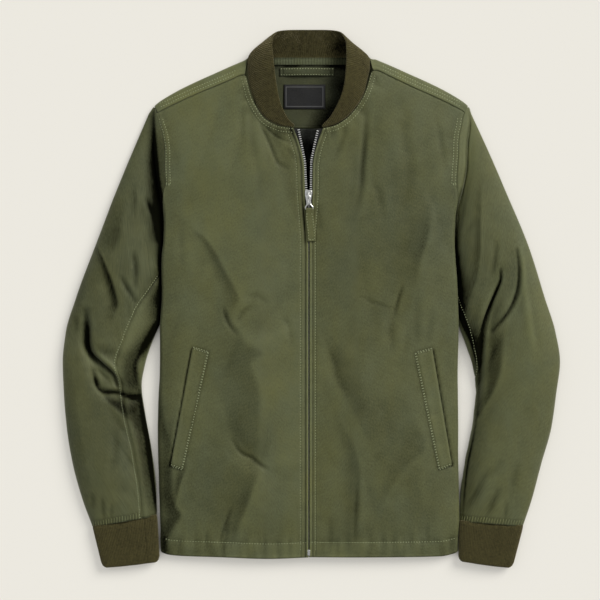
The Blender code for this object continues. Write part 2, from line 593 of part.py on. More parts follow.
def sleeve_cap(side, angle):
    """Five rings from the armhole seam to the sleeve's first section, for every angle.

    In front they lie on the body as far as the side edge, drop over it and start outwards below.
    """
    column = side_column(side)
    share = (1 - np.cos(angle)) / 2
    y = TIP_Y - (TIP_Y - UNDERARM_Y) * share
    edge = edge_out(side, y)
    ring_out, ring_y, ring_up = sleeve_ring(side, angle, np.zeros(angle.shape))
    seam = smooth(FRONT_END, y, column) + GAP / 2
    low = LAID_UNDER + 0.3
    hidden = ease(seam, 1.5, 6.0)
    outs, ups = [None] * 5, [None] * 5
    outs[0], ups[0] = round_edge(side, y, seam)
    outs[1], ups[1] = round_edge(side, y, seam + 1.2 + 0.45 * np.maximum(-5.0 - seam, 0.0))
    outs[2] = (edge + 0.5) * (1 - hidden) + (outs[1] - 0.3) * hidden
    ups[2] = ups[1] - 1.0 - 0.8 * np.maximum(ease(seam, 0.0, 5.0), ease(-seam, 3.0, 8.0))
    outs[4] = (edge + 2.5) * (1 - hidden) + (ring_out - 1.5) * hidden
    ups[4] = np.full(angle.shape, low)
    outs[3], ups[3] = (outs[2] + outs[4]) / 2, (ups[2] + low) / 2
    back_out = smooth(BACK_ARMHOLE, y, column) + GAP
    below = angle > np.pi
    rings = []
    for step in range(5):
        part = step / 5
        out = np.where(below, back_out + (ring_out - back_out) * part, outs[step])
        up = np.where(below, BED + (ring_up - BED) * part, ups[step])
        along = y + (ring_y - y) * np.where(below, part, min(part**2, 0.5))
        at_tip = angle == 0
        out = np.where(at_tip, TIP[0] + (ring_out - TIP[0]) * part, out)
        along = np.where(at_tip, TIP[1] + (ring_y - TIP[1]) * part, along)
        up = np.where(at_tip, TIP[2] + (ring_up - TIP[2]) * part, up)
        rings.append((out, along, up))
    return rings


def seam_angle(side, at):
    """Angle of the front seam on each ring: a share of the width over 1 is on the underside."""
    table = SLEEVES[side]
    share = table[:, 5]
    angle = np.arccos(1 - 2 * np.minimum(share, 1.0)) + np.arccos(1 - 2 * np.maximum(share - 1, 0.0))
    return smooth(np.stack([np.arange(len(table), dtype=float), angle], axis=1), at)


def sleeve_grid(side, low, high, shares):
    """A sleeve piece's middle surface between two angles, each a value for every ring."""
    angle = low[:, None] + (high - low)[:, None] * shares
    out, y, height = sleeve_ring(side, angle, RINGS[:, None] + 0.0 * angle)
    cap = np.array(sleeve_cap(side, angle[0]))
    return placed(side, np.concatenate([cap[:, 0], out]), np.concatenate([cap[:, 1], y]),
                  np.concatenate([cap[:, 2], height]))


def make_sleeves():
    """Each sleeve is a top piece round the outer fold and an under piece round the inner one."""
    armhole = np.arccos(1 - 2 * (TIP_Y - np.array(ARMHOLE_ROWS)) / (TIP_Y - UNDERARM_Y))
    whole = np.full(RINGS.shape, 2 * np.pi)
    back = whole - np.arccos(1 - 2 * BACK_SEAM)
    for side in SIDES:
        front = seam_angle(side, RINGS)
        shown = armhole[armhole < front[0] - 0.15] / front[0]
        shares = np.concatenate([[0.0], shown, [1.0 - SEAM_STEP / front[0], 1.0]])
        above = sleeve_grid(side, 0.0 * front, front - PARTING, shares)
        below = sleeve_grid(side, back + PARTING, whole, np.array(TOP_UNDER))
        wall(f"sleeve_top_{side}", np.concatenate([below, above], axis=1), CLOTH, "shell")
        under = sleeve_grid(side, front + PARTING, back - PARTING, np.array(UNDER_SHARES))
        wall(f"sleeve_under_{side}", under, CLOTH, "shell")


# ---------------------------------------------------------------- rib
def make_cuffs():
    """A flattened tube of rib at each sleeve's end, tapering to the open end."""
    round_it, rows = CUFF_POINTS
    angle = np.linspace(0.0, 2 * np.pi, round_it, endpoint=False)
    share = (1 - np.cos(angle)) / 2
    arch = np.sign(np.sin(angle)) * np.abs(np.sin(angle)) ** 0.6
    for side in SIDES:
        corners = np.array(CUFFS[side])
        along = np.linspace(0.0, 1.0, rows)[:, None]
        outer = corners[0] + (corners[2] - corners[0]) * along
        inner = corners[1] + (corners[3] - corners[1]) * along
        out = outer[:, :1] + (inner - outer)[:, :1] * share
        y = outer[:, 1:] + (inner - outer)[:, 1:] * share
        top = CUFF_HEIGHT[0] + (CUFF_HEIGHT[1] - CUFF_HEIGHT[0]) * along
        height = (top + RIB / 2) / 2 + (top - RIB / 2) / 2 * arch
        wall(f"cuff_{side}", placed(side, out, y, height), RIB, "rib", ring=True)


def collar_half(side, across):
    """Half of the collar band: rows from the zip to the middle of the back, columns across it."""
    table = COLLAR[side]
    seam, free, bow = table[:, None, :3], table[:, None, 3:6], table[:, None, 6]
    points = seam + (free - seam) * across[:, None]
    away = seam[..., :2] - np.array([0.0, 290.0])
    away = away / np.linalg.norm(away, axis=-1, keepdims=True)
    bulge = 4 * across * (1 - across)
    points[..., :2] += away * (bow * bulge)[..., None]
    return placed(side, points[..., 0], points[..., 1], points[..., 2])


def make_collar():
    halves = [collar_half(side, np.array(COLLAR_ACROSS)) for side in SIDES]
    middle = (halves[0][-1:] + halves[1][-1:]) / 2
    band = np.concatenate([halves[0], middle, halves[1][::-1]])
    wall("collar", band, RIB, "rib")


# ---------------------------------------------------------------- what shows inside the neck
def lay(name, box, height, colour, arch=0.0):
    """A thin piece lying flat at a height, its middle raised by arch."""
    low_x, high_x, low_y, high_y = box
    x = np.linspace(low_x, high_x, 9 if arch else 2)
    y = np.array([low_y, high_y])
    up = height + arch * ease(np.abs(x - (low_x + high_x) / 2), (high_x - low_x) / 2, 0.0)
    grid = np.stack(np.broadcast_arrays(x, y[:, None], up), axis=-1)
    wall(name, grid, THIN, colour)


def make_neck_inside():
    base = BED + LAYER
    lay("back_facing", FACING, base, "shell")
    lay("back_lining", LINING, base, "lining")
    lay("neck_tape", NECK_TAPE, base + LAYER, "shell")
    lay("neck_label", LABEL, base + LAYER, "label")
    lay("hanger_loop", HANGER_LOOP, base + LAYER, "shell", 2.4)


# ---------------------------------------------------------------- pockets and zip
def make_welts():
    for side in SIDES:
        top_zip, top_out, low_out, low_zip = np.array(WELTS[side])
        down = np.linspace(0.0, 1.0, 7)[:, None, None]
        over = np.linspace(0.0, 1.0, 4)[None, :, None]
        high = top_zip + (top_out - top_zip) * over
        low = low_zip + (low_out - low_zip) * over
        plan = high + (low - high) * down
        height = front_height(side, plan[..., 0], plan[..., 1]) + WELT_UP
        wall(f"welt_{side}", placed(side, plan[..., 0], plan[..., 1], height), WELT, "shell")


def make_zip_tapes():
    for side in SIDES:
        y = np.array((238.0,) + ARMHOLE_ROWS[2:] + LOWER_ROWS + (-352.0, -359.0))[:, None]
        teeth = smooth(TEETH, y, side_column(side)) + np.array([0.0, 1.0]) * TAPE_WIDTH
        out = SIDES[side] * ZIP_X + teeth
        height = front_height(side, out, y) - TAPE_DOWN
        wall(f"zip_tape_{side}", placed(side, out, y, height), THIN, "tape")


def prism(name, outline, low, high, colour, axis=2):
    """A flat outline, in order round it, drawn out from low to high along an axis."""
    outline = np.asarray(outline, dtype=float)
    count = len(outline)
    ends = [np.insert(outline, axis, level, axis=1) for level in (low, high)]
    ring = np.arange(count)
    beyond = (ring + 1) % count
    sides = np.stack([ring, beyond, beyond + count, ring + count], axis=1)
    bottom, top = ring[::-1], ring + count
    return object_from(name, np.concatenate(ends), [*sides, bottom, top], colour)


def join(target, others):
    """One body out of several: each of the others is added to the target and then removed."""
    for other in others:
        union = target.modifiers.new("union", "BOOLEAN")
        union.operation = "UNION"
        union.solver = "EXACT"
        union.object = other
    graph = bpy.context.evaluated_depsgraph_get()
    mesh = bpy.data.meshes.new_from_object(target.evaluated_get(graph))
    target.modifiers.clear()
    target.data = mesh
    for other in others:
        bpy.data.objects.remove(other)


def make_slider():
    """Two plates, the post between them and the crown over the upper one."""
    shape = [(SLIDER_HALF[at] + out, SLIDER_ENDS[0] + up) for at, out, up in SLIDER_OUTLINE]
    outline = [(SLIDER_X + x, y) for x, y in shape]
    outline += [(SLIDER_X - x, y) for x, y in shape[::-1]]
    plates = [prism(f"plate_{k}", outline, *span, "metal") for k, span in enumerate(PLATES)]
    width, start, end = BRIDGE
    post = [(SLIDER_X - width, start), (SLIDER_X + width, start),
            (SLIDER_X + width, end), (SLIDER_X - width, end)]
    bridge = prism("bridge", post, PLATES[0][1] - SEATED, PLATES[1][0] + SEATED, "metal")
    turn = np.linspace(0.0, np.pi, 11)
    middle, reach = sum(CROWN) / 2, (CROWN[1] - CROWN[0]) / 2
    base = PLATES[1][1] - SEATED
    curve = np.stack([-np.sign(np.cos(turn)) * np.abs(np.cos(turn)) ** 0.7, np.sin(turn) ** 0.7], axis=1)
    outside = np.array([middle, base]) + curve * (reach, CROWN_TOP - base)
    inside = np.array([middle, base]) + curve * (reach - CROWN_WALL, CROWN_TOP - base - CROWN_WALL)
    arch = np.concatenate([outside, inside[::-1]])
    crown = prism("crown", arch, SLIDER_X - CROWN_HALF, SLIDER_X + CROWN_HALF, "metal", axis=0)
    plates[1].name = "slider"
    join(plates[1], [plates[0], bridge, crown])


def make_pull():
    """The wire loop hung under the crown, and the cloth tab folded round its lower bar."""
    axis_y, axis_up = PULL_AXIS
    half = np.array(PULL_LOOP)
    middle = SLIDER_X + (TAB_X - SLIDER_X) * ease(-half[:, 1], -137.0, -128.0)
    right, left = half.copy(), half.copy()
    right[:, 0] = middle - half[:, 0]
    left[:, 0] = middle + half[:, 0]
    loop = np.concatenate([right, left[::-1]])
    path = np.column_stack([loop, axis_up - PULL_SLOPE * (axis_y - loop[:, 1])])
    along = np.roll(path, -1, axis=0) - np.roll(path, 1, axis=0)
    along /= np.linalg.norm(along, axis=1, keepdims=True)
    up = np.array([0.0, 0.0, 1.0]) - along[:, 2:] * along
    up /= np.linalg.norm(up, axis=1, keepdims=True)
    beside = np.cross(along, up)
    turn = np.linspace(0.0, 2 * np.pi, 8, endpoint=False)[:, None]
    tube = path[:, None] + PULL_WIRE / 2 * (np.cos(turn) * beside[:, None] + np.sin(turn) * up[:, None])
    count, round_it = len(path), len(turn)
    index = np.arange(count * round_it).reshape(count, round_it)
    a, b = index, np.roll(index, -1, axis=0)
    faces = np.stack([a, np.roll(a, -1, axis=1), np.roll(b, -1, axis=1), b], axis=-1)
    hinge = (SLIDER_X, axis_y, axis_up)
    object_from("pull", tube.reshape(-1, 3), faces.reshape(-1, 4), "metal", hinge)

    narrow, wide = TAB
    bar_y = half[-1, 1]
    bar_up = axis_up - PULL_SLOPE * (axis_y - bar_y)
    bend = np.linspace(-0.5, 0.5, 7) * np.pi
    lies, low, high = TAB_LAYERS.T
    y = np.concatenate([lies, bar_y + TAB_TURN * np.cos(bend), lies[::-1]])
    height = np.concatenate([low, bar_up + TAB_TURN * np.sin(bend), high[::-1]])
    width = wide + (narrow - wide) * ease(y, 117.0, 122.0)
    x = TAB_X + np.array([-0.5, 0.0, 0.5])[:, None] * width
    grid = np.stack(np.broadcast_arrays(x, y, height), axis=-1)
    wall("pull_tab", grid, THIN, "shell", origin=hinge)


def make_bottom_stop():
    width, low, high, corner = BOTTOM_STOP
    start, end = ZIP_X - width / 2, ZIP_X + width / 2
    up = front_height("right", np.array(-ZIP_X), np.array(high)) + CLOTH
    outline = [(start, low), (end, low), (end, high - corner), (end - corner, high),
               (start + corner, high), (start, high - corner)]
    prism("bottom_stop", outline, up, up + STOP_THICKNESS, "metal")


def build():
    for obj in list(bpy.data.objects):
        bpy.data.objects.remove(obj)
    make_fronts()
    make_back()
    make_sleeves()
    make_cuffs()
    make_collar()
    make_neck_inside()
    make_welts()
    make_zip_tapes()
    make_slider()
    make_pull()
    make_bottom_stop()


build()
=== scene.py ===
"""Looks of a bomber jacket laid out flat on its back: cloth, rib knit, zip and stitching.

Plan positions are worked out in millimetres as (out, y), where out is the distance from the middle
plane on either side, and become metres in the meshes. Left and right are the wearer's, so the
right front is at -X. Each cloth piece is a thin closed wall about a surface of two parameters.
"""

import bpy
import numpy as np
from bpy.props import FloatProperty, FloatVectorProperty, PointerProperty
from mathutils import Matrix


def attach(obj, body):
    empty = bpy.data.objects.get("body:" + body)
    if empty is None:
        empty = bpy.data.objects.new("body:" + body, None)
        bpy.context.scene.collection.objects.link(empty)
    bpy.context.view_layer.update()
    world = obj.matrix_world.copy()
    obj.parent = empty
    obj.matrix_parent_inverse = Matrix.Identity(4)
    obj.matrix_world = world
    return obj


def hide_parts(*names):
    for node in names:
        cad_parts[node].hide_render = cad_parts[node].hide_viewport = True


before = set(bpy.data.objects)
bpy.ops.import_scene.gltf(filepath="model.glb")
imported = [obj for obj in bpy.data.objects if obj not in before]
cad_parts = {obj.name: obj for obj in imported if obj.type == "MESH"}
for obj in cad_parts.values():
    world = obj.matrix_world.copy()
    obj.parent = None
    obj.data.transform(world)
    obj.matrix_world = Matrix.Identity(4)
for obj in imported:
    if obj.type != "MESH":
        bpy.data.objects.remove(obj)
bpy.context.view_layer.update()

bl_info = {
    "name": "Bomber jacket laid flat",
    "version": (1, 0, 0),
    "blender": (4, 5, 0),
    "location": "3D View > Sidebar > Jacket",
    "description": "Cloth, rib, zip and stitching of a bomber jacket laid out flat",
    "category": "Add Mesh",
}

# ---------------------------------------------------------------- the jacket's own lines, in mm
CLOTH = 1.2  # thickness of the outer cloth
SHARE = 0.34  # how far a tone of 1 lightens the cloth
RIB = 2.6  # thickness of the rib knit over its ribs
GAP = 0.3  # between the edges of two pieces at a seam
LOFT = 27.0  # height of the fronts at the chest
BED = 0.6  # height of the lowest cloth's middle
ZIP_X = -3.4
SHOULDER_FOLD = 4.2  # radius of the fold along the shoulder
UNDERARM_Y = 35.0
TIP_Y = 268.0
TIP = (220.8, 268.6, 5.0)  # shoulder's outer end: out, y, height
SLEEVE_FOLD = 4.0  # height of a sleeve's folds
LAID_UNDER = 6.2  # height of a sleeve where the body lies on it
HEM_Y = -357.0
BACK_SEAM = 0.72  # share of a sleeve's width at which its back seam runs
PARTING = 0.006  # angle kept free on each side of a sleeve's seam
SIDES = {"right": -1.0, "left": 1.0}

# Side edge of the body as laid: y, out on the right, out on the left
EDGE = np.array([
    (-357.0, 209.0, 204.8), (-311.0, 210.4, 206.4), (-266.0, 212.3, 206.8), (-180.0, 214.2, 205.2),
    (-113.0, 211.8, 203.6), (-43.0, 211.0, 204.8), (5.0, 209.2, 203.6), (50.0, 208.4, 201.3),
    (84.0, 205.8, 200.0), (110.0, 206.0, 200.8), (130.0, 206.8, 203.2), (157.0, 210.9, 210.5),
    (189.0, 215.2, 216.2), (219.0, 217.8, 217.2), (244.0, 218.4, 220.0), (268.0, 219.8, 219.4),
])
# Where a front ends, as a length round the side edge: y, right, left
FRONT_END = np.array([
    (-357.0, 60.0, 60.0), (-130.0, 60.0, 60.0), (-45.0, 27.0, 27.0), (35.0, 20.0, 20.0),
    (80.0, 12.0, 12.0), (110.0, 6.0, 6.0), (131.0, 0.0, 0.0), (150.0, -6.0, -7.0),
    (161.0, -10.5, -11.0), (185.0, -12.5, -14.0), (208.0, -14.5, -13.0), (228.0, -12.5, -13.0),
    (250.0, -6.0, -10.0), (268.0, -3.0, -4.0),
])
# Height of the cloth above the side fold, and of the layer under it: y, top, under
FOLD_HEIGHT = np.array([
    (-357.0, 11.5, 0.6), (-250.0, 13.0, 0.6), (-125.0, 14.0, 0.6), (-45.0, 18.0, 8.9),
    (60.0, 18.5, 9.2), (150.0, 17.5, 9.0), (205.0, 15.0, 8.0), (240.0, 12.0, 6.0), (268.0, 9.8, 4.0),
])
# Shoulder outline: out, y
SHOULDER = np.array([
    (90.0, 335.0), (111.0, 326.2), (136.0, 315.0), (161.0, 303.8), (184.0, 292.6), (203.0, 281.8),
    (212.0, 276.0), (220.5, 269.0), (232.0, 258.0),
])
# Front's upper edge round the neck and along the forward shoulder seam: out, y
TOP_EDGE = {
    "right": np.array([
        (25.0, 239.0), (40.0, 240.5), (54.0, 245.0), (66.0, 253.5), (76.0, 267.5), (84.5, 286.0),
        (89.0, 303.0), (92.0, 312.5), (97.0, 312.5), (111.0, 306.6), (136.0, 296.4), (162.0, 285.4),
        (190.0, 272.8), (207.0, 264.6), (218.0, 259.0),
    ]),
    "left": np.array([
        (16.5, 238.4), (32.0, 242.0), (46.0, 250.0), (58.0, 261.5), (68.0, 275.5), (75.5, 290.0),
        (80.5, 305.0), (84.0, 317.5), (89.5, 319.6), (110.3, 310.8), (131.0, 301.0), (152.3, 291.2),
        (187.3, 275.4), (207.0, 265.2), (218.0, 258.8),
    ]),
}
NECK_CORNER = {"right": 94.0, "left": 86.5}
# Front's zip edge and the teeth: y, distance from the zip line on the right, on the left
ZIP_EDGE = np.array([
    (-357.0, 0.8, 0.8), (75.0, 0.8, 0.8), (105.0, 2.2, 1.6), (130.0, 4.4, 3.8), (150.0, 5.6, 4.8),
    (185.0, 6.6, 5.2), (200.0, 8.8, 7.2), (219.0, 14.2, 12.6), (239.0, 21.6, 19.9),
])
TEETH = np.array([
    (-357.0, 0.4, 0.4), (136.0, 0.4, 0.4), (152.0, 3.0, 2.2), (191.0, 5.0, 2.8), (204.0, 7.4, 5.0),
    (236.0, 13.6, 12.0), (239.0, 14.2, 12.6),
])
# Hem: out, y on the right, y on the left
HEM = np.array([
    (0.0, -361.2, -361.0), (60.0, -363.4, -361.4), (130.0, -361.0, -361.0), (180.0, -359.4, -360.0),
    (198.0, -357.8, -356.6), (210.0, -354.2, -351.6),
])
# Sleeves: outer edge, inner edge, height, and the share of the width at which the front seam runs
SLEEVES = {
    "right": np.array([
        (227.2, 259.0, 196.0, 32.0, 9.5, 0.94), (242.6, 222.6, 197.0, 26.0, 15.0, 0.91),
        (270.6, 155.4, 199.0, 15.0, 22.0, 0.85), (302.8, 71.4, 204.0, -8.0, 26.0, 0.77),
        (328.0, 4.2, 211.0, -31.0, 26.5, 0.70), (343.4, -46.2, 222.0, -57.0, 26.0, 0.69),
        (347.6, -88.2, 233.0, -90.0, 25.5, 0.66), (346.2, -130.2, 238.2, -122.0, 24.5, 0.76),
        (342.0, -180.6, 232.8, -163.0, 25.0, 0.765), (333.6, -231.0, 224.4, -210.0, 25.0, 0.785),
        (319.6, -281.4, 218.1, -262.0, 22.0, 0.785), (305.6, -319.2, 216.6, -303.6, 17.5, 0.775),
    ]),
    "left": np.array([
        (223.7, 259.0, 192.0, 32.0, 9.5, 0.96), (240.5, 222.6, 193.0, 26.0, 15.0, 0.95),
        (269.9, 155.4, 195.0, 14.0, 22.0, 0.94), (304.9, 71.4, 199.0, -12.0, 26.0, 0.93),
        (325.9, 4.2, 207.0, -37.0, 26.5, 0.92), (341.3, -46.2, 218.0, -67.0, 26.0, 0.94),
        (347.7, -88.2, 227.5, -97.0, 26.0, 0.98), (342.7, -130.2, 231.2, -130.0, 25.5, 1.02),
        (335.7, -180.6, 227.6, -168.0, 25.0, 1.04), (321.5, -231.0, 216.6, -226.0, 24.5, 1.05),
        (308.2, -281.4, 209.8, -272.0, 22.0, 1.05), (296.0, -318.4, 208.4, -311.2, 17.5, 1.05),
    ]),
}
# Rib cuffs: outer and inner corner at the sleeve, then at the open end
CUFFS = {
    "right": ((304.6, -320.2), (216.8, -304.6), (290.6, -376.5), (213.4, -368.4)),
    "left": ((295.2, -319.4), (208.4, -312.2), (280.2, -376.9), (207.2, -367.4)),
}
CUFF_HEIGHT = (16.5, 14.0)
# Collar stations from the zip to the middle of the back: seam, free edge, outward bow
COLLAR = {
    "right": np.array([
        (24.6, 240.6, 25.8, 23.8, 243.2, 26.8, 0.0), (38.5, 241.9, 25.8, 31.6, 250.6, 28.6, 0.5),
        (53.6, 247.0, 25.4, 39.6, 265.0, 31.5, 1.5), (66.2, 256.0, 24.6, 44.6, 279.0, 33.5, 2.5),
        (79.0, 277.4, 22.4, 48.0, 296.0, 35.0, 3.0), (86.6, 302.0, 18.8, 51.0, 317.0, 35.6, 3.5),
        (88.6, 322.0, 15.6, 53.0, 337.0, 33.5, 4.5), (88.4, 334.5, 13.0, 54.6, 356.0, 28.0, 5.5),
        (84.0, 340.6, 8.2, 53.0, 368.0, 18.5, 2.4), (75.0, 339.4, 2.8, 46.0, 374.6, 9.5, 2.4),
        (52.0, 337.4, 1.6, 33.0, 376.6, 6.5, 0.6), (25.0, 337.1, 1.6, 17.0, 377.0, 6.0, 0.0),
    ]),
    "left": np.array([
        (16.0, 240.0, 25.8, 15.4, 242.6, 26.8, 0.0), (30.5, 243.4, 25.6, 26.0, 253.8, 28.6, 0.5),
        (45.2, 251.4, 25.2, 36.0, 270.6, 31.5, 1.5), (59.6, 265.6, 24.2, 42.4, 286.0, 33.5, 2.5),
        (73.0, 287.6, 21.4, 46.4, 304.0, 35.0, 3.0), (78.6, 309.0, 17.6, 48.0, 320.0, 35.2, 3.5),
        (81.6, 324.0, 14.8, 48.8, 340.0, 33.5, 4.5), (81.6, 334.5, 12.6, 48.6, 355.0, 28.0, 3.5),
        (76.0, 340.2, 7.8, 45.0, 367.4, 18.5, 0.8), (67.0, 339.4, 2.8, 39.0, 374.0, 9.5, 1.4),
        (48.0, 337.4, 1.6, 29.0, 376.4, 6.5, 0.4), (23.0, 337.1, 1.6, 14.0, 377.0, 6.0, 0.0),
    ]),
}
# Largest folds as soft troughs: out and y of three points, width, depth
FOLDS = {
    "right_sleeve": np.array([
        (314.0, -21.0, 309.6, -77.0, 269.0, -122.0, 9.0, 9.0),
        (304.0, -106.0, 279.0, -134.0, 240.0, -134.0, 8.0, 7.0),
        (291.0, 43.0, 284.0, 12.0, 272.0, -15.0, 10.0, 3.0),
    ]),
    "left_sleeve": np.array([
        (263.0, 38.0, 250.0, -20.0, 235.0, -108.0, 9.0, 8.5),
        (290.0, 54.0, 286.0, -4.0, 253.0, -44.0, 8.0, 4.5),
        (271.0, -42.0, 262.0, -68.0, 245.0, -97.0, 8.0, 4.0),
    ]),
    "right_front": np.array([
        (111.0, -190.0, 86.0, -218.0, 62.0, -240.0, 16.0, 2.4),
        (145.0, 77.0, 126.0, 40.0, 104.0, 6.0, 18.0, 1.8),
        (77.0, 254.0, 56.0, 218.0, 40.0, 184.0, 13.0, 2.2),
    ]),
    "left_front": np.array([
        (77.0, 264.0, 75.0, 214.0, 64.0, 134.0, 16.0, 2.4),
        (128.0, 11.0, 122.0, -10.0, 114.0, -30.0, 16.0, 1.6),
        (24.0, -67.0, 30.0, -92.0, 38.0, -113.0, 16.0, 1.8),
    ]),
}
# Finer creases over them: width at the start and at the end, depth, share of the depth in the lips,
# how dark the painted shade in the crease is, then out and y of each point of its curve
CREASES = {
    "right_front": (
        (3.1, 3.1, 1.4, 0.3, 0.74, 122, -14, 119, -24, 114, -36, 104, -48),
        (3.5, 4.2, 0.8, 0.2, 0.35, 104, -32, 96, -20, 86, -10),
        (2.8, 3.1, 1.2, 0.4, 0.74, 111, -195, 104, -207, 96, -216, 84, -221, 73, -230, 62, -238),
        (2.2, 3.4, 0.9, 0.3, 0.66, 72, 245, 63, 227, 55, 209, 47, 190, 33, 183),
        (2, 2.2, 0.7, 0.3, 0.59, 69, 245, 55, 232, 41, 223, 26, 217),
        (3.6, 3.6, 0.5, 0.2, 0.47, 35, 211, 28, 203, 20, 195),
        (2.8, 3.1, 1, 0.3, 0.56, 112, -293, 122, -321, 129, -351),
        (2.2, 2.8, 0.8, 0.3, 0.5, 115, -309, 119, -333, 125, -358),
        (2.5, 2.5, 0.7, 0.3, 0.38, 146, -326, 150, -360),
        (5.6, 5.6, 0.4, 0.2, 0.21, 191, 211, 187, 190, 187, 167),
        (5.6, 5.6, 0.4, 0.2, 0.19, 182, 99, 181, 69, 178, 32),
        (4.2, 4.2, 0.5, 0.2, 0.21, 93, 4, 75, 4, 62, -6),
        (4.2, 4.2, 0.5, 0.2, 0.24, 40, -27, 33, -35, 27, -60),
        (2.5, 2.5, 0.6, 0, 1.29, 12, 134, 9, 113, 9, 78), (4.2, 4.2, 0.5, 0.2, 0.21, 96, 265, 97, 223),
        (4.2, 7, 0.5, 0.2, 0.18, 84, 256, 80, 211, 72, 169),
    ),
    "left_front": (
        (3.6, 4.2, 1.6, 0.3, 0.59, 77, 259, 75, 223, 72, 188, 70, 158, 64, 123),
        (5.6, 4.2, 0.6, 0.2, 0.2, 86, 162, 95, 146, 99, 122),
        (2.8, 2.8, 1.2, 0.3, 0.49, 127, 17, 121, -3, 116, -22),
        (6.3, 6.3, 0.7, 0.2, 0.25, 116, -21, 112, -43, 114, -74),
        (5.6, 5.6, 0.5, 0.2, 0.19, 148, 1, 147, -43, 144, -74),
        (4.9, 4.9, 0.4, 0.2, 0.15, 137, -41, 130, -80),
        (5.6, 5.6, 0.4, 0.2, 0.16, 168, -13, 165, -43, 159, -71),
        (2.8, 2.8, 0.5, 0.4, 0.17, 65, 4, 91, -6, 114, -14),
        (5.6, 7, 0.8, 0.2, 0.3, 22, -69, 32, -90, 37, -113, 50, -130),
        (3.1, 3.6, 0.8, 0.2, 0.44, 64, -260, 63, -293, 61, -335),
        (5.6, 5.6, 0.5, 0.2, 0.19, 25, -307, 29, -340),
        (8.4, 8.4, 0.8, 0.2, 0.15, 130, 253, 131, 223, 138, 181, 137, 153),
        (4.2, 4.2, 0.5, 0.2, 0.15, 175, 251, 182, 216, 189, 169),
        (3.4, 4.2, 0.6, 0.3, 0.2, 50, 245, 43, 220, 33, 195),
        (4.2, 4.2, 0.5, 0.2, 0.49, 11, 134, 9, 122, 14, 97),
    ),
    "right_sleeve": (
        (4.2, 3.4, 1, 0, 1.76, 224, -50, 234, -70, 244, -87, 245, -105, 241, -125),
        (4.2, 4.2, 1.2, 0.3, 0.66, 248, 64, 245, 43, 245, 18),
        (3.5, 3.6, 1.2, 0.3, 0.71, 265, 31, 257, 15, 244, -6),
        (3.4, 4.8, 1.4, 0.5, 1.21, 230, 140, 224, 125, 216, 106),
        (4.8, 3.1, 3.4, 0.4, 1.28, 316, -17, 314, -43, 313, -66, 306, -80, 294, -90, 283, -99,
         275, -108, 270, -126),
        (8.4, 9.8, 0.6, 0, 1.21, 315, -29, 315, -55, 311, -74),
        (3.6, 3.6, -1, 0, -0.88, 303, -71, 289, -87, 275, -99, 266, -113),
        (2.8, 3.4, 2.2, 0.4, 1.1, 305, -99, 301, -113, 296, -125, 287, -130, 271, -131, 254, -136, 236, -137),
        (4.2, 4.2, 0.6, 0, 1.1, 303, -108, 299, -123),
        (2.8, 5.6, 0.5, 0, 1.54, 257, -136, 245, -139, 236, -141),
        (7, 7, 0.6, 0.2, 0.53, 301, -71, 282, -74, 259, -80),
        (4.2, 4.2, 0.6, 0.2, 0.57, 329, -24, 327, -45),
        (5.6, 5.6, 0.5, 0.2, 0.26, 272, -183, 273, -214, 278, -237),
        (3.4, 3.4, 0.7, 0.2, 0.49, 292, -277, 290, -305), (4.2, 4.2, 0.6, 0.2, 0.44, 306, -270, 303, -295),
        (3.1, 3.1, 0.6, 0.2, 0.44, 279, -288, 280, -307), (8.4, 8.4, 0.5, 0.2, 0.22, 271, -259, 257, -270),
        (13.0, 13.0, 0, 0, 0.95, 270, -141, 252, -143, 238, -146),
    ),
    "left_sleeve": (
        (1.8, 2.5, 1.2, 0.5, 1.27, 220, 267, 222, 248, 219, 228, 217, 206, 217, 186, 214, 167, 208, 144),
        (2, 5, 4.6, 0.4, 2.05, 264, 41, 264, 27, 259, 13, 252, -4, 245, -22, 240, -41, 238, -64,
         236, -92, 233, -127, 231, -161),
        (5.6, 6.3, 0.8, 0, 1.06, 261, -62, 249, -87, 242, -113),
        (2.5, 3.4, 3, 0.35, 1.23, 288, 69, 291, 41, 289, 15, 282, -6, 271, -24, 252, -46),
        (3.6, 3.9, 1, 0.3, 0.51, 259, 78, 257, 57, 253, 34), (4.2, 4.2, 0.5, 0.2, 0.25, 226, 109, 215, 87),
        (4.9, 4.9, -1.2, 0, -0.41, 294, 74, 298, 13, 306, -43, 310, -74),
        (4.8, 6.2, 0.9, 0.3, 0.64, 246, -239, 231, -270, 217, -293),
        (4.8, 5, 0.9, 0.3, 0.64, 264, -262, 253, -286, 245, -305),
        (2.8, 2.8, 0.6, 0.2, 0.47, 273, -286, 270, -309), (5.6, 5.6, 0.5, 0.2, 0.3, 268, -225, 247, -248),
        (5.6, 5.6, 0.5, 0.2, 0.21, 288, -230, 281, -263),
    ),
}
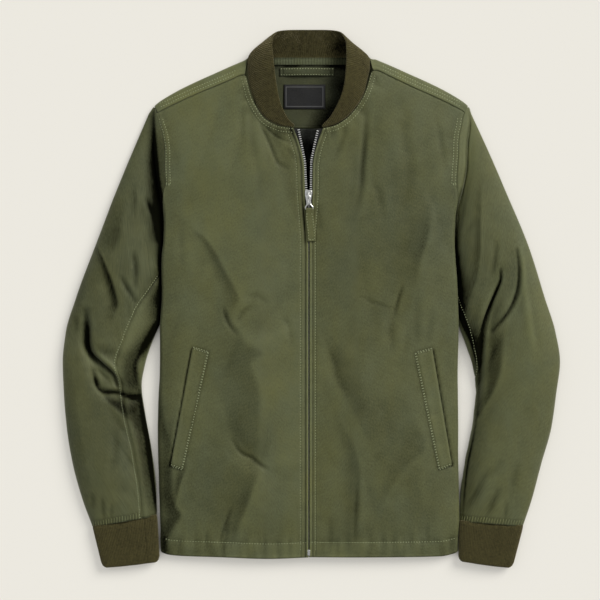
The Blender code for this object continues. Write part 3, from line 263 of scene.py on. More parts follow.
# Facets of the cloth, each on the left of a curve that it meets in a ridge: its width at the start
# and at the end, width of the cloth's fall beyond, height of the ridge, how dark its painted shade is,
# then the curve. Rows with no height are painted shadow only, such as the dark strips beside the body.
FACETS = {
    "right_front": (
        (4.2, 21, 22, 2.2, 1.22, 161, 95, 146, 83, 132, 63, 117, 34, 101, 3, 108, -14),
        (42, 39.2, 45, 2.6, 0.86, 103, -43, 90, -62, 69, -76, 83, -91, 73, -127, 72, -169, 75, -214),
        (11.2, 19.6, 20, 1, 0.65, 82, -220, 96, -214, 110, -192, 118, -167, 126, -139),
        (77, 70, 50, 2.6, 0.86, 69, -234, 79, -256, 89, -286, 100, -316, 105, -340),
        (12.6, 12.6, 30, 1, 0.57, 77, -256, 87, -284, 100, -315),
        (15.4, 23.8, 10, 1.2, 1.79, 194, -186, 195, -232, 192, -281, 182, -302, 191, -318,
         198, -335, 194, -360),
        (11.2, 5.6, 10, 0.8, 1.61, 175, -239, 182, -256, 189, -284),
        (11.2, 36.4, 24, 1.8, 0.79, 17, 98, 27, 125, 38, 153, 49, 185, 61, 220, 80, 255),
        (11.2, 11.2, 10, 0.4, 1, 208, -134, 205, -169, 198, -197),
    ),
    "left_front": (
        (12.6, 12.6, 14, 1, 0.58, 63, 120, 68, 160, 70, 197),
        (63, 67.2, 30, 2.2, 0.45, 147, 28, 154, 57, 163, 85, 169, 118, 158, 146),
        (11.2, 11.2, 20, 1, 0.52, 148, 32, 154, 57, 163, 85, 166, 119),
        (12.6, 47.6, 22, 2.4, 0.97, 19, -60, 29, -88, 42, -130, 63, -169, 81, -206),
        (8.4, 42, 26, 1.8, 0.68, 105, -276, 119, -253, 135, -232, 159, -206, 141, -158),
        (23.8, 11.2, 30, 1.6, 0.78, 65, -337, 67, -281, 68, -239, 57, -200, 40, -167),
        (22.4, 22.4, 20, 0.8, 0.39, 158, -284, 152, -256, 159, -231),
    ),
    "right_sleeve": (
        (7, 23.8, 8, 0, 2.82, 219, 265, 217, 230, 215, 202, 212, 169, 208, 146, 206, 119),
        (16.8, 6.3, 8, 0, 2.85, 208, 139, 203, 108, 203, 80, 208, 52, 210, 43),
        (21, 21, 8, 0, 2.5, 206, 120, 204, 98, 206, 76), (15, 22, 8, 0, 1.5, 207, 34, 207, 8, 210, -14),
        (4.2, 9.8, 8, 0, 2.85, 210, 57, 209, 20, 208, -6, 208, -29, 215, -42, 223, -59, 231, -78),
        (23.8, 16.8, 8, 0, 2.21, 208, 20, 208, -29, 226, -64),
        (5.6, 12.6, 14, 2.2, 2.12, 296, 69, 286, 48, 275, 20, 269, -6, 273, -20),
        (23.8, 19.6, 20, 1, 0.88, 262, 120, 266, 90, 275, 66),
        (8.4, 8.4, 10, 0.6, 0.79, 244, 155, 243, 139, 244, 119),
        (11.2, 25.2, 8, 0, 2.12, 224, -50, 234, -70, 244, -87, 244, -108, 240, -127),
        (5.6, 4.2, 8, 0, 2.85, 238, -130, 230, -176, 224, -218, 219, -263, 213, -312),
        (25.2, 15.4, 8, 0, 2.21, 238, -130, 230, -176, 224, -218, 219, -263, 213, -312),
        (21, 5.6, 14, 1, 1.76, 254, -171, 266, -158, 282, -146, 294, -130),
        (18.2, 15.4, 16, 0.6, 0.31, 343, -83, 331, -120, 325, -169, 315, -225, 301, -293),
        (19.6, 16.8, 20, 0.6, 0.44, 307, 52, 318, -1, 324, -43),
    ),
    "left_sleeve": (
        (4.9, 8.4, 8, 0, 2.85, 208, 150, 202, 122, 201, 83, 202, 48, 204, -1, 207, -27, 219, -55, 231, -88),
        (14, 15.4, 8, 0, 2.06, 203, 52, 205, -1, 208, -29, 225, -71),
        (8.4, 28, 9, 2, 1.81, 233, -167, 253, -132, 264, -102, 268, -64, 271, -35),
        (11.2, 12.6, 8, 0, 2.39, 235, -111, 237, -71, 239, -32),
        (11.2, 11.2, 9, 0.8, 0.66, 288, 10, 292, 34, 291, 69),
        (11.2, 7, 10, 1.4, 1.07, 219, -8, 231, 27, 236, 62, 237, 104, 238, 153),
        (2.8, 2.8, 8, 0, 2.47, 232, -158, 225, -197, 218, -232, 214, -267, 211, -304),
        (19.6, 19.6, 8, 0, 0.91, 242, -141, 225, -197, 218, -232, 214, -267, 211, -304),
    ),
}
# Welts: upper zip side, upper outer, lower outer, lower zip side
WELTS = {
    "right": ((143.2, -73.6), (165.6, -66.8), (196.7, -233.2), (179.9, -238.8)),
    "left": ((144.4, -74.8), (168.8, -68.4), (196.6, -232.4), (178.2, -238.4)),
}
ARMHOLE_ROWS = (258.0, 243.0, 226.0, 207.0, 186.0, 165.0, 148.0, 131.0, 112.0, 88.0, 62.0, 35.0)
LOWER_ROWS = (5.0, -25.0, -50.0, -90.0, -130.0, -180.0, -230.0, -280.0, -320.0, -354.0)
BACK_ROWS = (240.0, 205.0, 165.0, 125.0, 88.0, 62.0, 48.0, 35.0, 20.0) + LOWER_ROWS[:-1]
BACK_ARMHOLE = np.array([
    (35.0, 186.5, 182.6), (62.0, 190.0, 186.0), (88.0, 192.6, 189.0), (131.0, 195.0, 193.5),
    (165.0, 200.0, 199.5), (207.0, 206.0, 206.0), (243.0, 212.0, 212.0), (268.0, 219.0, 219.0),
])
# The back's section from the side seam: distance out, share of the doubling, height over the seam
TUCK = np.array([
    (0.0, 0.0, 0.0), (-1.2, 0.0, 0.0), (-2.2, 0.0, 1.3), (-1.2, 0.0, 2.6), (1.0, 1.0, 2.7),
    (2.2, 1.0, 3.9), (1.0, 1.0, 5.2), (-3.0, 0.0, 5.2), (-9.0, 0.0, 3.6), (-18.0, 0.0, 1.2),
    (-28.0, 0.0, 0.0),
])
BACK_COLUMNS = (1.0, 0.86, 0.68, 0.56, 0.53, 0.50, 0.45, 0.36, 0.18, 0.0)
NECK_SIDE = {"right": 94.0, "left": 87.0}
NECK_TURN = (-11.0, 0.5)
NECK_SHARE = 0.50
NECK_BACK = 5.4
# What lies inside the neck: low x, high x, low y, high y
FACING = (-79.0, 71.0, 239.4, 336.0)
LINING = (-72.0, 62.0, 96.0, 239.0)
NECK_TAPE = (-60.0, 53.0, 328.2, 338.2)
HANGER_LOOP = (-43.8, 31.9, 310.8, 326.0)
LABEL = (-38.7, 19.8, 266.3, 300.6)
LAYER = 1.4  # from one layer inside the neck to the next
INNER = 0.6  # thickness of the pieces inside the neck
NECK_MIDDLE = -4.0
TAPE_WIDTH = 11.0
SLIDER_X = -3.8
PLATES = ((23.0, 24.2), (28.1, 29.5))  # heights of the slider's plates
# Half of the pull's loop: distance from its middle, y
PULL_LOOP = ((1.5, 142.9), (1.5, 139.4), (1.5, 135.6), (1.7, 132.6), (3.1, 130.5), (4.7, 128.9), (5.2, 127.1),
             (4.6, 125.6), (2.6, 124.9))
TAB_X = -0.6
TAPE_DOWN = 1.6  # zip tapes below the fronts
HEM_ROW = 21.0  # hem stitching above the hem
ZIP_ROW = {"right": 10.5, "left": 8.4}  # stitching beside the zip edge
SEAM_ROWS = (1.7, 6.8)  # a double row beside a seam
STRIP_ROWS = (5.2, 10.4)  # on the shoulder strips, from the forward seam
WELT_ROW = 2.0
SLEEVE_ROW = 3.0  # beside a sleeve's front seam
TURNED_UNDER = 0.07  # angle by which a sleeve's under piece runs on beneath the top one
NECK_ROWS = (1.5, 6.6)
UP = np.array([0.0, 0.0, 1.0])
TOOTH = np.array([3.2, 1.6, 2.2])  # length, width and height
PLEAT = np.array([9.0, 1.9, 1.5])  # the same
PLEAT_PITCH = 3.9
# Height of the tab's upper layer: y, then the height, or the height over the wire's bar
TAB_Y = (80.4, 100.0, 117.5, 124.6)
TAB_OVER = ((29.7, 30.3), (1.0, 1.75))
# Kinds of cloth: how cloudy, roughness, sheen, how far its tone (wear, and painted shade and highlight) goes;
# kinds of metal: roughness, metallic
CLOTHS = {
    "shell": (0.4, 0.62, 0.25, SHARE), "facing": (0.3, 0.62, 0.25, SHARE),
    "lining": (0.2, 0.5, 0.1, SHARE), "tape": (0.1, 0.8, 0.1, SHARE),
    "neck_tape": (0.1, 0.75, 0.3, SHARE), "label": (0.05, 0.5, 0.1, 14.0),
}
METALS = {"metal": (0.3, 1.0), "teeth": (0.45, 0.45)}
# The stage, in metres: half the floor's width and its height, the camera's place and focal length
FLOOR = (6.0, -0.0003)
CAMERA = ((-0.01575, -0.0014, 5.0), 213.9)
SKY = ((0.97, 0.985, 1.0, 1.0), 0.31)
# Lamps: name, turn, strength, angle, colour
LAMPS = (
    ("key", (-0.55, 0.80, 0.0), 3.05, 0.6, (1.0, 0.985, 0.95)),
    ("fill", (-0.45, -0.80, 0.0), 0.45, 1.2, (0.96, 0.98, 1.0)),
)


# ---------------------------------------------------------------- curves and heights
def smooth(table, x, column=1):
    """Value at x of a curve through a table's rows: cubic pieces whose slopes never overshoot."""
    xs, ys = table[:, 0], table[:, column]
    step = np.diff(xs)
    rise = np.diff(ys) / step
    slope = np.concatenate([[rise[0]], np.zeros(len(xs) - 2), [rise[-1]]])
    same = rise[1:] * rise[:-1] > 0
    slope[1:-1][same] = 2 * rise[1:][same] * rise[:-1][same] / (rise[1:] + rise[:-1])[same]
    x = np.clip(x, xs[0], xs[-1])
    i = np.clip(np.searchsorted(xs, x) - 1, 0, len(xs) - 2)
    t = (x - xs[i]) / step[i]
    a, b = slope[i] * step[i], slope[i + 1] * step[i]
    low, high = ys[i], ys[i + 1]
    return low + t * (a + t * (3 * (high - low) - 2 * a - b + t * (a + b - 2 * (high - low))))


def side_column(side):
    return 1 if side == "right" else 2


def edge_out(side, y):
    return smooth(EDGE, y, side_column(side))


def ease(x, low, high):
    """0 below low, 1 above high, and an S curve between them."""
    t = np.clip((x - low) / (high - low), 0.0, 1.0)
    return t * t * (3.0 - 2.0 * t)


def bump(distance, width):
    """A bell: 1 on the line, falling to 1/e at width."""
    return np.exp(-((distance / width) ** 2))


def clouds(x, y, size, seed):
    """Smooth random field from -1 to 1: values on a square lattice, blended with S curves."""
    values = np.random.default_rng(seed).uniform(-1.0, 1.0, (64, 64))
    u, v = np.asarray(x) / size + 31.7, np.asarray(y) / size + 17.3
    i, j = np.floor(u).astype(int), np.floor(v).astype(int)
    f, g = u - i, v - j
    f, g = f * f * (3 - 2 * f), g * g * (3 - 2 * g)
    a, b, c, d = i % 64, (i + 1) % 64, j % 64, (j + 1) % 64
    low = values[a, c] * (1 - f) + values[b, c] * f
    high = values[a, d] * (1 - f) + values[b, d] * f
    return low * (1 - g) + high * g


def numbered(table):
    """A table with the numbers of its rows in front, so that smooth runs from row to row."""
    return np.concatenate([np.arange(len(table), dtype=float)[:, None], table], axis=1)


def travelled(points):
    """Length along a polyline up to each of its points."""
    return np.concatenate([[0.0], np.cumsum(np.linalg.norm(np.diff(points, axis=0), axis=1))])


def unit(vectors):
    return vectors / np.linalg.norm(vectors, axis=-1, keepdims=True)


def flattened(value, power):
    """A sine or cosine raised to a power under 1 with its sign kept, so that a round becomes flat."""
    return np.sign(value) * np.abs(value) ** power


def extended(points):
    """Points with one more at each end, straight on."""
    return np.concatenate([2 * points[:1] - points[1:2], points, 2 * points[-1:] - points[-2:-1]])


def spline(p0, p1, p2, p3, t):
    """Catmull-Rom curve from p1 to p2, with p0 before them and p3 after them."""
    return p1 + 0.5 * t * (p2 - p0 + t * (2 * p0 - 5 * p1 + 4 * p2 - p3 + t * (3 * (p1 - p2) + p3 - p0)))


def arc(x0, y0, x1, y1, x2, y2, count):
    """Points of the parabola that passes through three points, the second one halfway."""
    t = np.linspace(0.0, 1.0, count)
    mid = 2 * x1 - (x0 + x2) / 2, 2 * y1 - (y0 + y2) / 2
    bend = (1 - t) ** 2, 2 * t * (1 - t), t**2
    return np.stack([bend[0] * x0 + bend[1] * mid[0] + bend[2] * x2,
                     bend[0] * y0 + bend[1] * mid[1] + bend[2] * y2], axis=1), t


def troughs(name, out, y):
    """Sum of the named folds: each is a soft trough, deepest halfway and fading at both ends."""
    total = np.zeros(np.broadcast(out, y).shape)
    out, y = np.broadcast_arrays(out, y)
    for row in FOLDS[name]:
        path, t = arc(*row[:6], 61)
        far = (out[..., None] - path[:, 0]) ** 2 + (y[..., None] - path[:, 1]) ** 2
        fade = np.sin(np.pi * (0.08 + 0.84 * t)) ** 0.7
        total += row[7] * (np.exp(-far / row[6] ** 2) * fade).max(axis=-1)
    return total


def curve(points, count=81):
    """Evenly counted points of the Catmull-Rom curve through out and y of a row's points."""
    points = np.array(points, dtype=float).reshape(-1, 2)
    ends = extended(points)
    place = np.linspace(0.0, len(points) - 1.0, count)
    i = np.minimum(place.astype(int), len(points) - 2)
    return spline(*(ends[i + k] for k in range(4)), (place - i)[:, None])


def by_curve(points, reach, out, y):
    """Mask of the points near a curve, then each one's distance, share along it and side of it."""
    path = curve(points)
    low, high = path.min(axis=0) - reach, path.max(axis=0) + reach
    near = (out > low[0]) & (out < high[0]) & (y > low[1]) & (y < high[1])
    away = np.stack([out[near], y[near]], axis=1)[:, None] - path
    spot = (away**2).sum(axis=2).argmin(axis=1)
    away = away[np.arange(len(spot)), spot]
    way = np.gradient(path, axis=0)[spot]
    side = (way[:, 0] * away[:, 1] - way[:, 1] * away[:, 0]) / np.maximum(np.hypot(*way.T), 1e-6)
    return near, np.hypot(*away.T), spot / 80.0, side


def creases(table, out, y):
    """Height and tone of a table's creases: valleys of exp(-(d/w)^2) round a curve, with a low lip
    each side, whose depth fades at both ends by sin(pi t)^0.6. The tone is painted shade in the valleys.
    """
    out, y = np.broadcast_arrays(out, y)
    height, tone = np.zeros(out.shape), np.zeros(out.shape)
    for first, last, depth, lip, dark, *points in table:
        near, d, t, _side = by_curve(points, 4 * max(first, last), out, y)
        width = first + (last - first) * t
        envelope = np.sin(np.pi * (0.04 + 0.92 * t)) ** 0.6
        height[near] += depth * envelope * (lip * bump(d - 1.8 * width, width) - bump(d, width))
        tone[near] -= dark * envelope * bump(d, width)
    return height, tone


def facets(table, out, y):
    """Height and tone of a table's facets: ridges that fall off by exp(-d/w), with a w for each side.

    The side on the left of a curve's way is darker, by exp(-(d/w)^3), and stops short at the curve: this is
    painted shade, as on a face turned away from the light.
    """
    out, y = np.broadcast_arrays(out, y)
    height, tone = np.zeros(out.shape), np.zeros(out.shape)
    for first, last, beyond, rise, dark, *points in table:
        near, d, t, side = by_curve(points, 3 * max(first, last, beyond), out, y)
        width = first + (last - first) * t
        soft = np.clip(0.22 * width, 1.2, 5.0)
        left = ease(side / soft, -1.0, 1.0)
        envelope = np.sin(np.pi * (0.04 + 0.92 * t)) ** 0.5
        fall = width * left + beyond * (1 - left)
        height[near] += rise * envelope * np.exp(-(np.hypot(d, 1.0) - 1.0) / fall)
        tone[near] -= dark * envelope * left * np.exp(-((d / width) ** 3))
    return height, tone


def marks(name, out, y):
    """Heights of the named creases and of the named facets, and the painted shade of both together as a tone.
    """
    (fine, dark), (fold, darker) = creases(CREASES[name], out, y), facets(FACETS[name], out, y)
    return fine, fold, ((1 + SHARE * dark) * (1 + SHARE * darker) - 1) / SHARE


def crumpled(x, y, size, seed):
    """Ridged field from -1 to 1: 1 less twice the size of a smooth random one, so crests are sharp."""
    return 1.0 - 2.0 * np.abs(clouds(x, y, size, seed))


def nearest(path, x, y):
    """Distance in plan from each point to a polyline, and the length along it to that spot."""
    a, ab = path[:-1], np.diff(path, axis=0)
    size = np.hypot(*ab.T)
    start = np.concatenate([[0.0], np.cumsum(size)[:-1]])
    x, y = np.broadcast_arrays(x, y)
    px, py = x.reshape(-1, 1) - a[:, 0], y.reshape(-1, 1) - a[:, 1]
    t = np.clip((px * ab[:, 0] + py * ab[:, 1]) / size**2, 0.0, 1.0)
    far = np.hypot(px - t * ab[:, 0], py - t * ab[:, 1])
    spot = far.argmin(axis=1)
    row = np.arange(len(spot))
    return far[row, spot].reshape(x.shape), (start[spot] + t[row, spot] * size[spot]).reshape(x.shape)


def front_height(side, out, y):
    """Middle surface of a front: low at the side fold, the shoulder and the hem, flat at the chest."""
    inside = np.maximum(edge_out(side, y) - out, 0.0)
    below = 0.89 * (smooth(SHOULDER, out) + 0.5 * np.maximum(90.0 - out, 0.0) - y)
    below = np.maximum(below, 0.0)
    above_hem = np.maximum(y - HEM_Y, 0.0)
    shoulder_top = BED + 2 * SHOULDER_FOLD
    rim = shoulder_top + (smooth(FOLD_HEIGHT, y, 1) - shoulder_top) * (1 - np.exp(-below / 20.0))
    rise = (1 - np.exp(-inside / 48.0)) * (1 - np.exp(-below / 42.0))
    rise = rise * (0.25 + 0.75 * (1 - np.exp(-above_hem / 70.0)))
    return rim + (LOFT - rim) * rise - troughs(side + "_front", out, y)


def edge_radius(y):
    return 4.0 + 2.0 * ease(-y, 0.0, 120.0)


def round_edge(side, y, along):
    """Point (out, height) of the body's section at y, a length along from the side edge.

    Above the edge it follows the front's height, then half an ellipse, then the layer underneath.
    """
    edge, r = edge_out(side, y), edge_radius(y)
    under = smooth(FOLD_HEIGHT, y, 2)
    top = front_height(side, edge - r, y)
    half = np.pi * (r + (top - under) / 2) / 2
    a = along + half / 2
    turn = np.pi * np.clip(a / half, 0.0, 1.0)
    out = edge - r + r * np.sin(turn) - np.maximum(a - half, 0.0) + np.minimum(a, 0.0)
    height = (top + under) / 2 + (top - under) / 2 * np.cos(turn)
    return out, np.where(a < 0, front_height(side, out, y), height)


def turn_ends(side, y):
    """Lengths along the section, from the side edge, at which the turn starts and ends."""
    r = edge_radius(y)
    top = front_height(side, edge_out(side, y) - r, y)
    half = np.pi * (r + (top - smooth(FOLD_HEIGHT, y, 2)) / 2) / 2
    return -half / 2, half / 2


def top_path(side):
    """Plan polyline of a front's neck and shoulder seam."""
    out = np.linspace(TOP_EDGE[side][0, 0], TOP_EDGE[side][-1, 0], 160)
    return np.stack([out, smooth(TOP_EDGE[side], out)], axis=1)


ARMHOLE_Y = np.linspace(36.0, 262.0, 90)
ARMHOLE = {side: round_edge(side, ARMHOLE_Y, smooth(FRONT_END, ARMHOLE_Y, side_column(side)))[0]
           for side in SIDES}
TOP_PATH = {side: top_path(side) for side in SIDES}


def armhole_out(side, y):
    return np.interp(y, ARMHOLE_Y, ARMHOLE[side])


def zip_edge(side, y):
    return SIDES[side] * ZIP_X + smooth(ZIP_EDGE, y, side_column(side))


def puckers(along, across, seed, size=9.0, reach=9.0):
    """Small waves that cross a stitched line: uneven in pitch, fading with the distance across."""
    wave = clouds(along, across * 0.15, size, seed)
    wave = wave + 0.6 * clouds(along, across * 0.1, size * 0.53, seed + 1)
    return wave * np.exp(-np.abs(across) / reach)


def sunk_rows(distance, rows):
    """Depth of the dents that rows of stitches make at their distances from an edge."""
    return 0.45 * sum(bump(distance - row, 0.8) for row in rows)


def front_relief(side, out, y):
    """What a front's cloth adds to its height (seams, folded zip edge, puckers, creases, swells) and its
    tone, mostly painted shade and highlight.
    """
    right = side == "right"
    seed = 7 if right else 11
    from_zip = out - zip_edge(side, y)
    row = ZIP_ROW[side]
    open_neck = ease(y, 90.0, 150.0)
    total = 1.0 * bump(from_zip - 1.3, 1.2) - 1.6 * bump(from_zip, 0.55)
    total -= (0.75 if right else 0.35) * bump(from_zip - 4.4, 1.3) * (1 - 0.7 * open_neck)
    total += 0.4 * ease(from_zip, 3.5, 6.5) * (1 - ease(from_zip, row - 1.5, row))
    total -= 0.5 * bump(from_zip - row, 0.9)
    total += 0.35 * puckers(y, from_zip - row, seed, 11.0, 7.0)
    total += 0.2 * puckers(y, from_zip - 2.0, seed + 3, 7.0, 3.0)

    near, along = nearest(TOP_PATH[side], out, y)
    corner = nearest(TOP_PATH[side], np.array([NECK_CORNER[side]]),
                     np.array([smooth(TOP_EDGE[side], NECK_CORNER[side])]))[1][0]
    neck = 1 - ease(along, corner - 2.0, corner + 2.0)
    band = 1 - ease(near, NECK_ROWS[1] + 0.6, NECK_ROWS[1] + 2.2)
    total += neck * (0.7 * band - sunk_rows(near, NECK_ROWS))
    total += neck * 1.2 * puckers(along, near - NECK_ROWS[1], seed + 5, 8.0, 12.0)
    total -= (0.5 + 0.4 * neck) * bump(near, 1.3)
    total += (1 - neck) * 0.35 * puckers(along, near, seed + 9, 12.0, 10.0)

    inside = np.maximum(armhole_out(side, y) - out, 0.0)
    arm = ease(y, 150.0, 160.0)
    raised = 1 - ease(inside, 7.0, 8.6)
    total += arm * (0.5 * raised - sunk_rows(inside, SEAM_ROWS) - 0.8 * bump(inside, 1.1))
    total += arm * 0.45 * puckers(y, inside - SEAM_ROWS[1], seed + 13, 10.0, 10.0)

    up = y - smooth(HEM, out, side_column(side))
    total += 0.35 * (1 - ease(up, HEM_ROW - 0.5, HEM_ROW + 1.2)) - 0.55 * bump(up - HEM_ROW, 1.0)
    total -= 0.7 * bump(up, 0.9)
    total += 1.0 * puckers(out, up - HEM_ROW, seed + 17, 8.0, 14.0) * ease(up, 0.0, 4.0)

    top_zip, top_out, low_out, low_zip = np.array(WELTS[side])
    mouth = np.stack([top_out, low_out])
    beside, down = nearest(mouth, out, y)
    total -= 1.7 * bump(beside - 1.0, 1.5) * ease(down, 1.0, 6.0) * ease(-down, -170.0, -165.0)
    ring = np.stack([top_out, top_zip, low_zip, low_out])
    round_it, along_it = nearest(ring, out, y)
    total -= 0.5 * bump(round_it, 1.2)
    total += 0.4 * puckers(along_it, round_it, seed + 21, 12.0, 9.0)

    free = ease(np.minimum(near, np.minimum(from_zip, up)), 5.0, 40.0)
    lean = out * 0.75 + y * 0.66 * (1 if right else -1)
    swell = 1.2 * clouds(lean, (y - out) * 0.45, 62.0, seed + 31)
    swell += 1.1 * crumpled(lean + 0.2 * y, (y - out) * 0.4, 74.0, seed + 37)
    swell -= 0.5 * crumpled(out + 0.35 * y, y * 0.5 - 0.2 * out, 46.0, seed + 39)
    swell += 0.22 * clouds(out - 0.3 * y, y * 0.6, 24.0, seed + 33) + 0.12 * clouds(out, y, 11.0, seed + 35)
    fine, fold, tone = marks(side + "_front", out, y)
    total += free * swell + fine + fold * ease(from_zip, 4.0, 14.0)
    # Painted shade: the right front darker towards its side edge, the left front darker all over.
    tone = tone - (0.6 * bump(edge_out(side, y) - out, 22.0) if right else 0.4)
    # Painted shade on the band beside the neck seam, under the standing collar, mostly on the right front.
    tone -= 0.5 * neck * band * (1 if right else 0.2)
    tone += 0.15 * arm * raised * ease(inside, 0.5, 2.0)
    # Painted highlight on the folded zip edge, weaker where the neck is open.
    tone += (0.9 - 0.6 * open_neck) * ease(from_zip, 0.2, 1.0) * (1 - ease(from_zip, 1.6, 3.0))
    tone += (0.5 - 0.5 * ease(out, 20.0, 90.0)) * (1 - ease(up, 14.0, 24.0))
    # Painted shade in the gap between the zip edges.
    tone -= 1.2 * bump(from_zip, 0.5)
    tone += 0.75 * clouds(out, up * 0.15, 7.0, seed + 41) * (1 - ease(up, 17.0, 32.0))
    tone += 0.5 * neck * clouds(along, near * 0.3, 6.0, seed + 43) * (1 - ease(near, 7.0, 22.0))
    # Painted shade: beside the right zip edge, near the hem towards the sides, and under the collar at the
    # right front's neck.
    if right:
        tone -= (0.8 + 0.5 * open_neck) * bump(from_zip - 4.4, 1.9)
        tone -= 0.7 * ease(out, 110.0, 205.0) * bump(up, 22.0)
        tone -= 0.8 * ease(y, 205.0, 225.0) * (1 - ease(out, 40.0, 62.0)) * bump(near, 14.0)
    else:
        tone -= 0.7 * ease(out, 170.0, 205.0) * bump(up, 30.0)
    # Painted shade along the shoulder seam, beside the welt's stitching and in the pocket's mouth.
    tone -= 0.4 * bump(near, 1.0) * (1 - neck) + 0.5 * bump(round_it - 1.0, 2.2)
    tone -= 1.1 * bump(beside - 0.8, 1.4) * ease(down, 0.0, 3.0) * ease(-down, -171.0, -167.0)
    return total, tone


# ---------------------------------------------------------------- meshes
def mesh_object(name, points, faces, material, body="jacket", slot=None, tone=None, cut=None):
    """A smooth mesh object at the origin from points in mm, with its tone and its flat pattern."""
    mesh = bpy.data.meshes.new(name)
    mesh.from_pydata((np.asarray(points) / 1000.0).tolist(), [], faces)
    if tone is not None:
        # tone lightens and darkens the colour; most of it is painted shade and highlight, some of it wear and
        # mottling.
        layer = mesh.attributes.new("tone", "FLOAT", "POINT")
        layer.data.foreach_set("value", np.asarray(tone, dtype=np.float32))
    if cut is not None:
        corners = np.empty(len(mesh.loops), dtype=np.int32)
        mesh.loops.foreach_get("vertex_index", corners)
        layer = mesh.uv_layers.new(name="cut")
        layer.data.foreach_set("uv", (np.asarray(cut)[corners] / 1000.0).astype(np.float32).ravel())
    mesh.shade_smooth()
    mesh.materials.append(material)
    piece = bpy.data.objects.new(name, mesh)
    bpy.context.scene.collection.objects.link(piece)
    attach(piece, body)
    return piece


def lengths(grid, axis):
    """Length along each line of a grid, from its first point."""
    step = np.linalg.norm(np.diff(grid, axis=axis), axis=2)
    total = np.cumsum(step, axis=axis)
    start = np.zeros_like(np.take(total, [0], axis=axis))
    return np.concatenate([start, total], axis=axis)


def normals(grid, ring=False):
    """Unit normals of a grid of points, whose last column joins the first in a ring."""
    if ring:
        across = np.roll(grid, -1, axis=1) - np.roll(grid, 1, axis=1)
    else:
        across = np.gradient(grid, axis=1)
    found = np.cross(across, np.gradient(grid, axis=0))
    found /= np.maximum(np.linalg.norm(found, axis=2, keepdims=True), 1e-9)
    return found


def outwards(grid, part=..., ring=False, way=1.0):
    """Normals of a grid, turned so that those of a part of it look up, or down where way is -1."""
    found = normals(grid, ring)
    return found * np.sign(way * found[part][..., 2].mean())


def wall(name, grid, thickness, material, ring=False, soft=2, tone=None, **more):
    """A closed wall about a grid: both faces, moved apart along the normals, and the rim between.

    The wall thins to 0.4 of its thickness over the last few lines at an open edge, which rounds it.
    """
    rows, columns = grid.shape[:2]
    outward = normals(grid, ring)
    r = np.minimum(np.arange(rows), np.arange(rows)[::-1])[:, None]
    c = np.minimum(np.arange(columns), np.arange(columns)[::-1])[None, :]
    lines = r + 0 * c if ring else np.minimum(r, c)
    share = 0.4 + 0.6 * np.sin(np.clip(lines / soft, 0.0, 1.0) * np.pi / 2)
    shift = outward * (thickness / 2 * share)[..., None]
    points = np.concatenate([(grid + shift).reshape(-1, 3), (grid - shift).reshape(-1, 3)])
    index = np.arange(rows * columns).reshape(rows, columns)
    if ring:
        index = np.concatenate([index, index[:, :1]], axis=1)
    faces = np.stack([index[:-1, :-1], index[:-1, 1:], index[1:, 1:], index[1:, :-1]], axis=-1).reshape(-1, 4)
    far = rows * columns
    sides = [index[0], index[-1][::-1]]
    if not ring:
        sides += [index[::-1, 0], index[:, -1]]
    rim = [np.stack([s[1:], s[:-1], s[:-1] + far, s[1:] + far], axis=1) for s in sides]
    every = np.concatenate([faces, faces[:, ::-1] + far, *rim])
    a, b, c, d = (points[every[:, k]] for k in range(4))
    if (np.cross(a, b) * c).sum() + (np.cross(a, c) * d).sum() < 0:
        every = every[:, ::-1]
    tone = np.zeros((rows, columns)) if tone is None else tone
    cut = np.stack([lengths(grid, 1), lengths(grid, 0)], axis=-1).reshape(-1, 2)
    return mesh_object(name, points, every.tolist(), material, tone=np.tile(tone.ravel(), 2),
                       cut=np.tile(cut, (2, 1)), **more)


def wear_and_crease_shade(relief, reach=6):
    """Relief less its mean over a square of cells, as a tone: ridges light as worn cloth is, creases darker
    still as painted shade.
    """
    pad = np.pad(relief, reach, mode="edge")
    total = pad.cumsum(axis=0).cumsum(axis=1)
    total = np.pad(total, ((1, 0), (1, 0)))
    w = 2 * reach + 1
    mean = (total[w:, w:] - total[:-w, w:] - total[w:, :-w] + total[:-w, :-w]) / w**2
    tone = (relief - mean) / 0.9
    return np.where(tone < 0, np.maximum(1.3 * tone, -2.0), np.minimum(0.7 * tone, 0.9))


def placed(side, out, y, height):
    """Grid of points from plan position and height."""
    out, y, height = np.broadcast_arrays(out, y, height)
    return np.stack([SIDES[side] * out, y, height], axis=-1)


def sheet(name, stands_for, grid, thickness, kind, held, rests_on, ring=False, **more):
    """A wall in a kind of finish that stands for a node, whose imported part it hides."""
    piece = wall(name, grid, thickness, finish_of(kind), ring=ring, **more)
    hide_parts(stands_for)
    return piece


THREADS = []  # rows of stitches found while the cloth is made: points, outward directions


def inset(grid, outward, line, distance):
    """Row on a surface at a distance from one of its edges: line is first, last, top or bottom."""
    if line in ("top", "bottom"):
        grid, outward = grid.transpose(1, 0, 2), outward.transpose(1, 0, 2)
    if line in ("last", "bottom"):
        grid, outward = grid[:, ::-1], outward[:, ::-1]
    far = lengths(grid, 1)
    k = np.clip((far < distance).sum(axis=1), 1, grid.shape[1] - 1)
    row = np.arange(len(grid))
    t = np.clip((distance - far[row, k - 1]) / (far[row, k] - far[row, k - 1]), 0.0, 1.0)[:, None]
    return (grid[row, k - 1] * (1 - t) + grid[row, k] * t,
            outward[row, k - 1] * (1 - t) + outward[row, k] * t)


def sew_along(grid, outward, line, distance, half):
    """Keeps a row of stitches beside an edge, lifted by half of the cloth's thickness."""
    points, direction = inset(grid, outward, line, distance)
    THREADS.append((points + direction * half, direction))


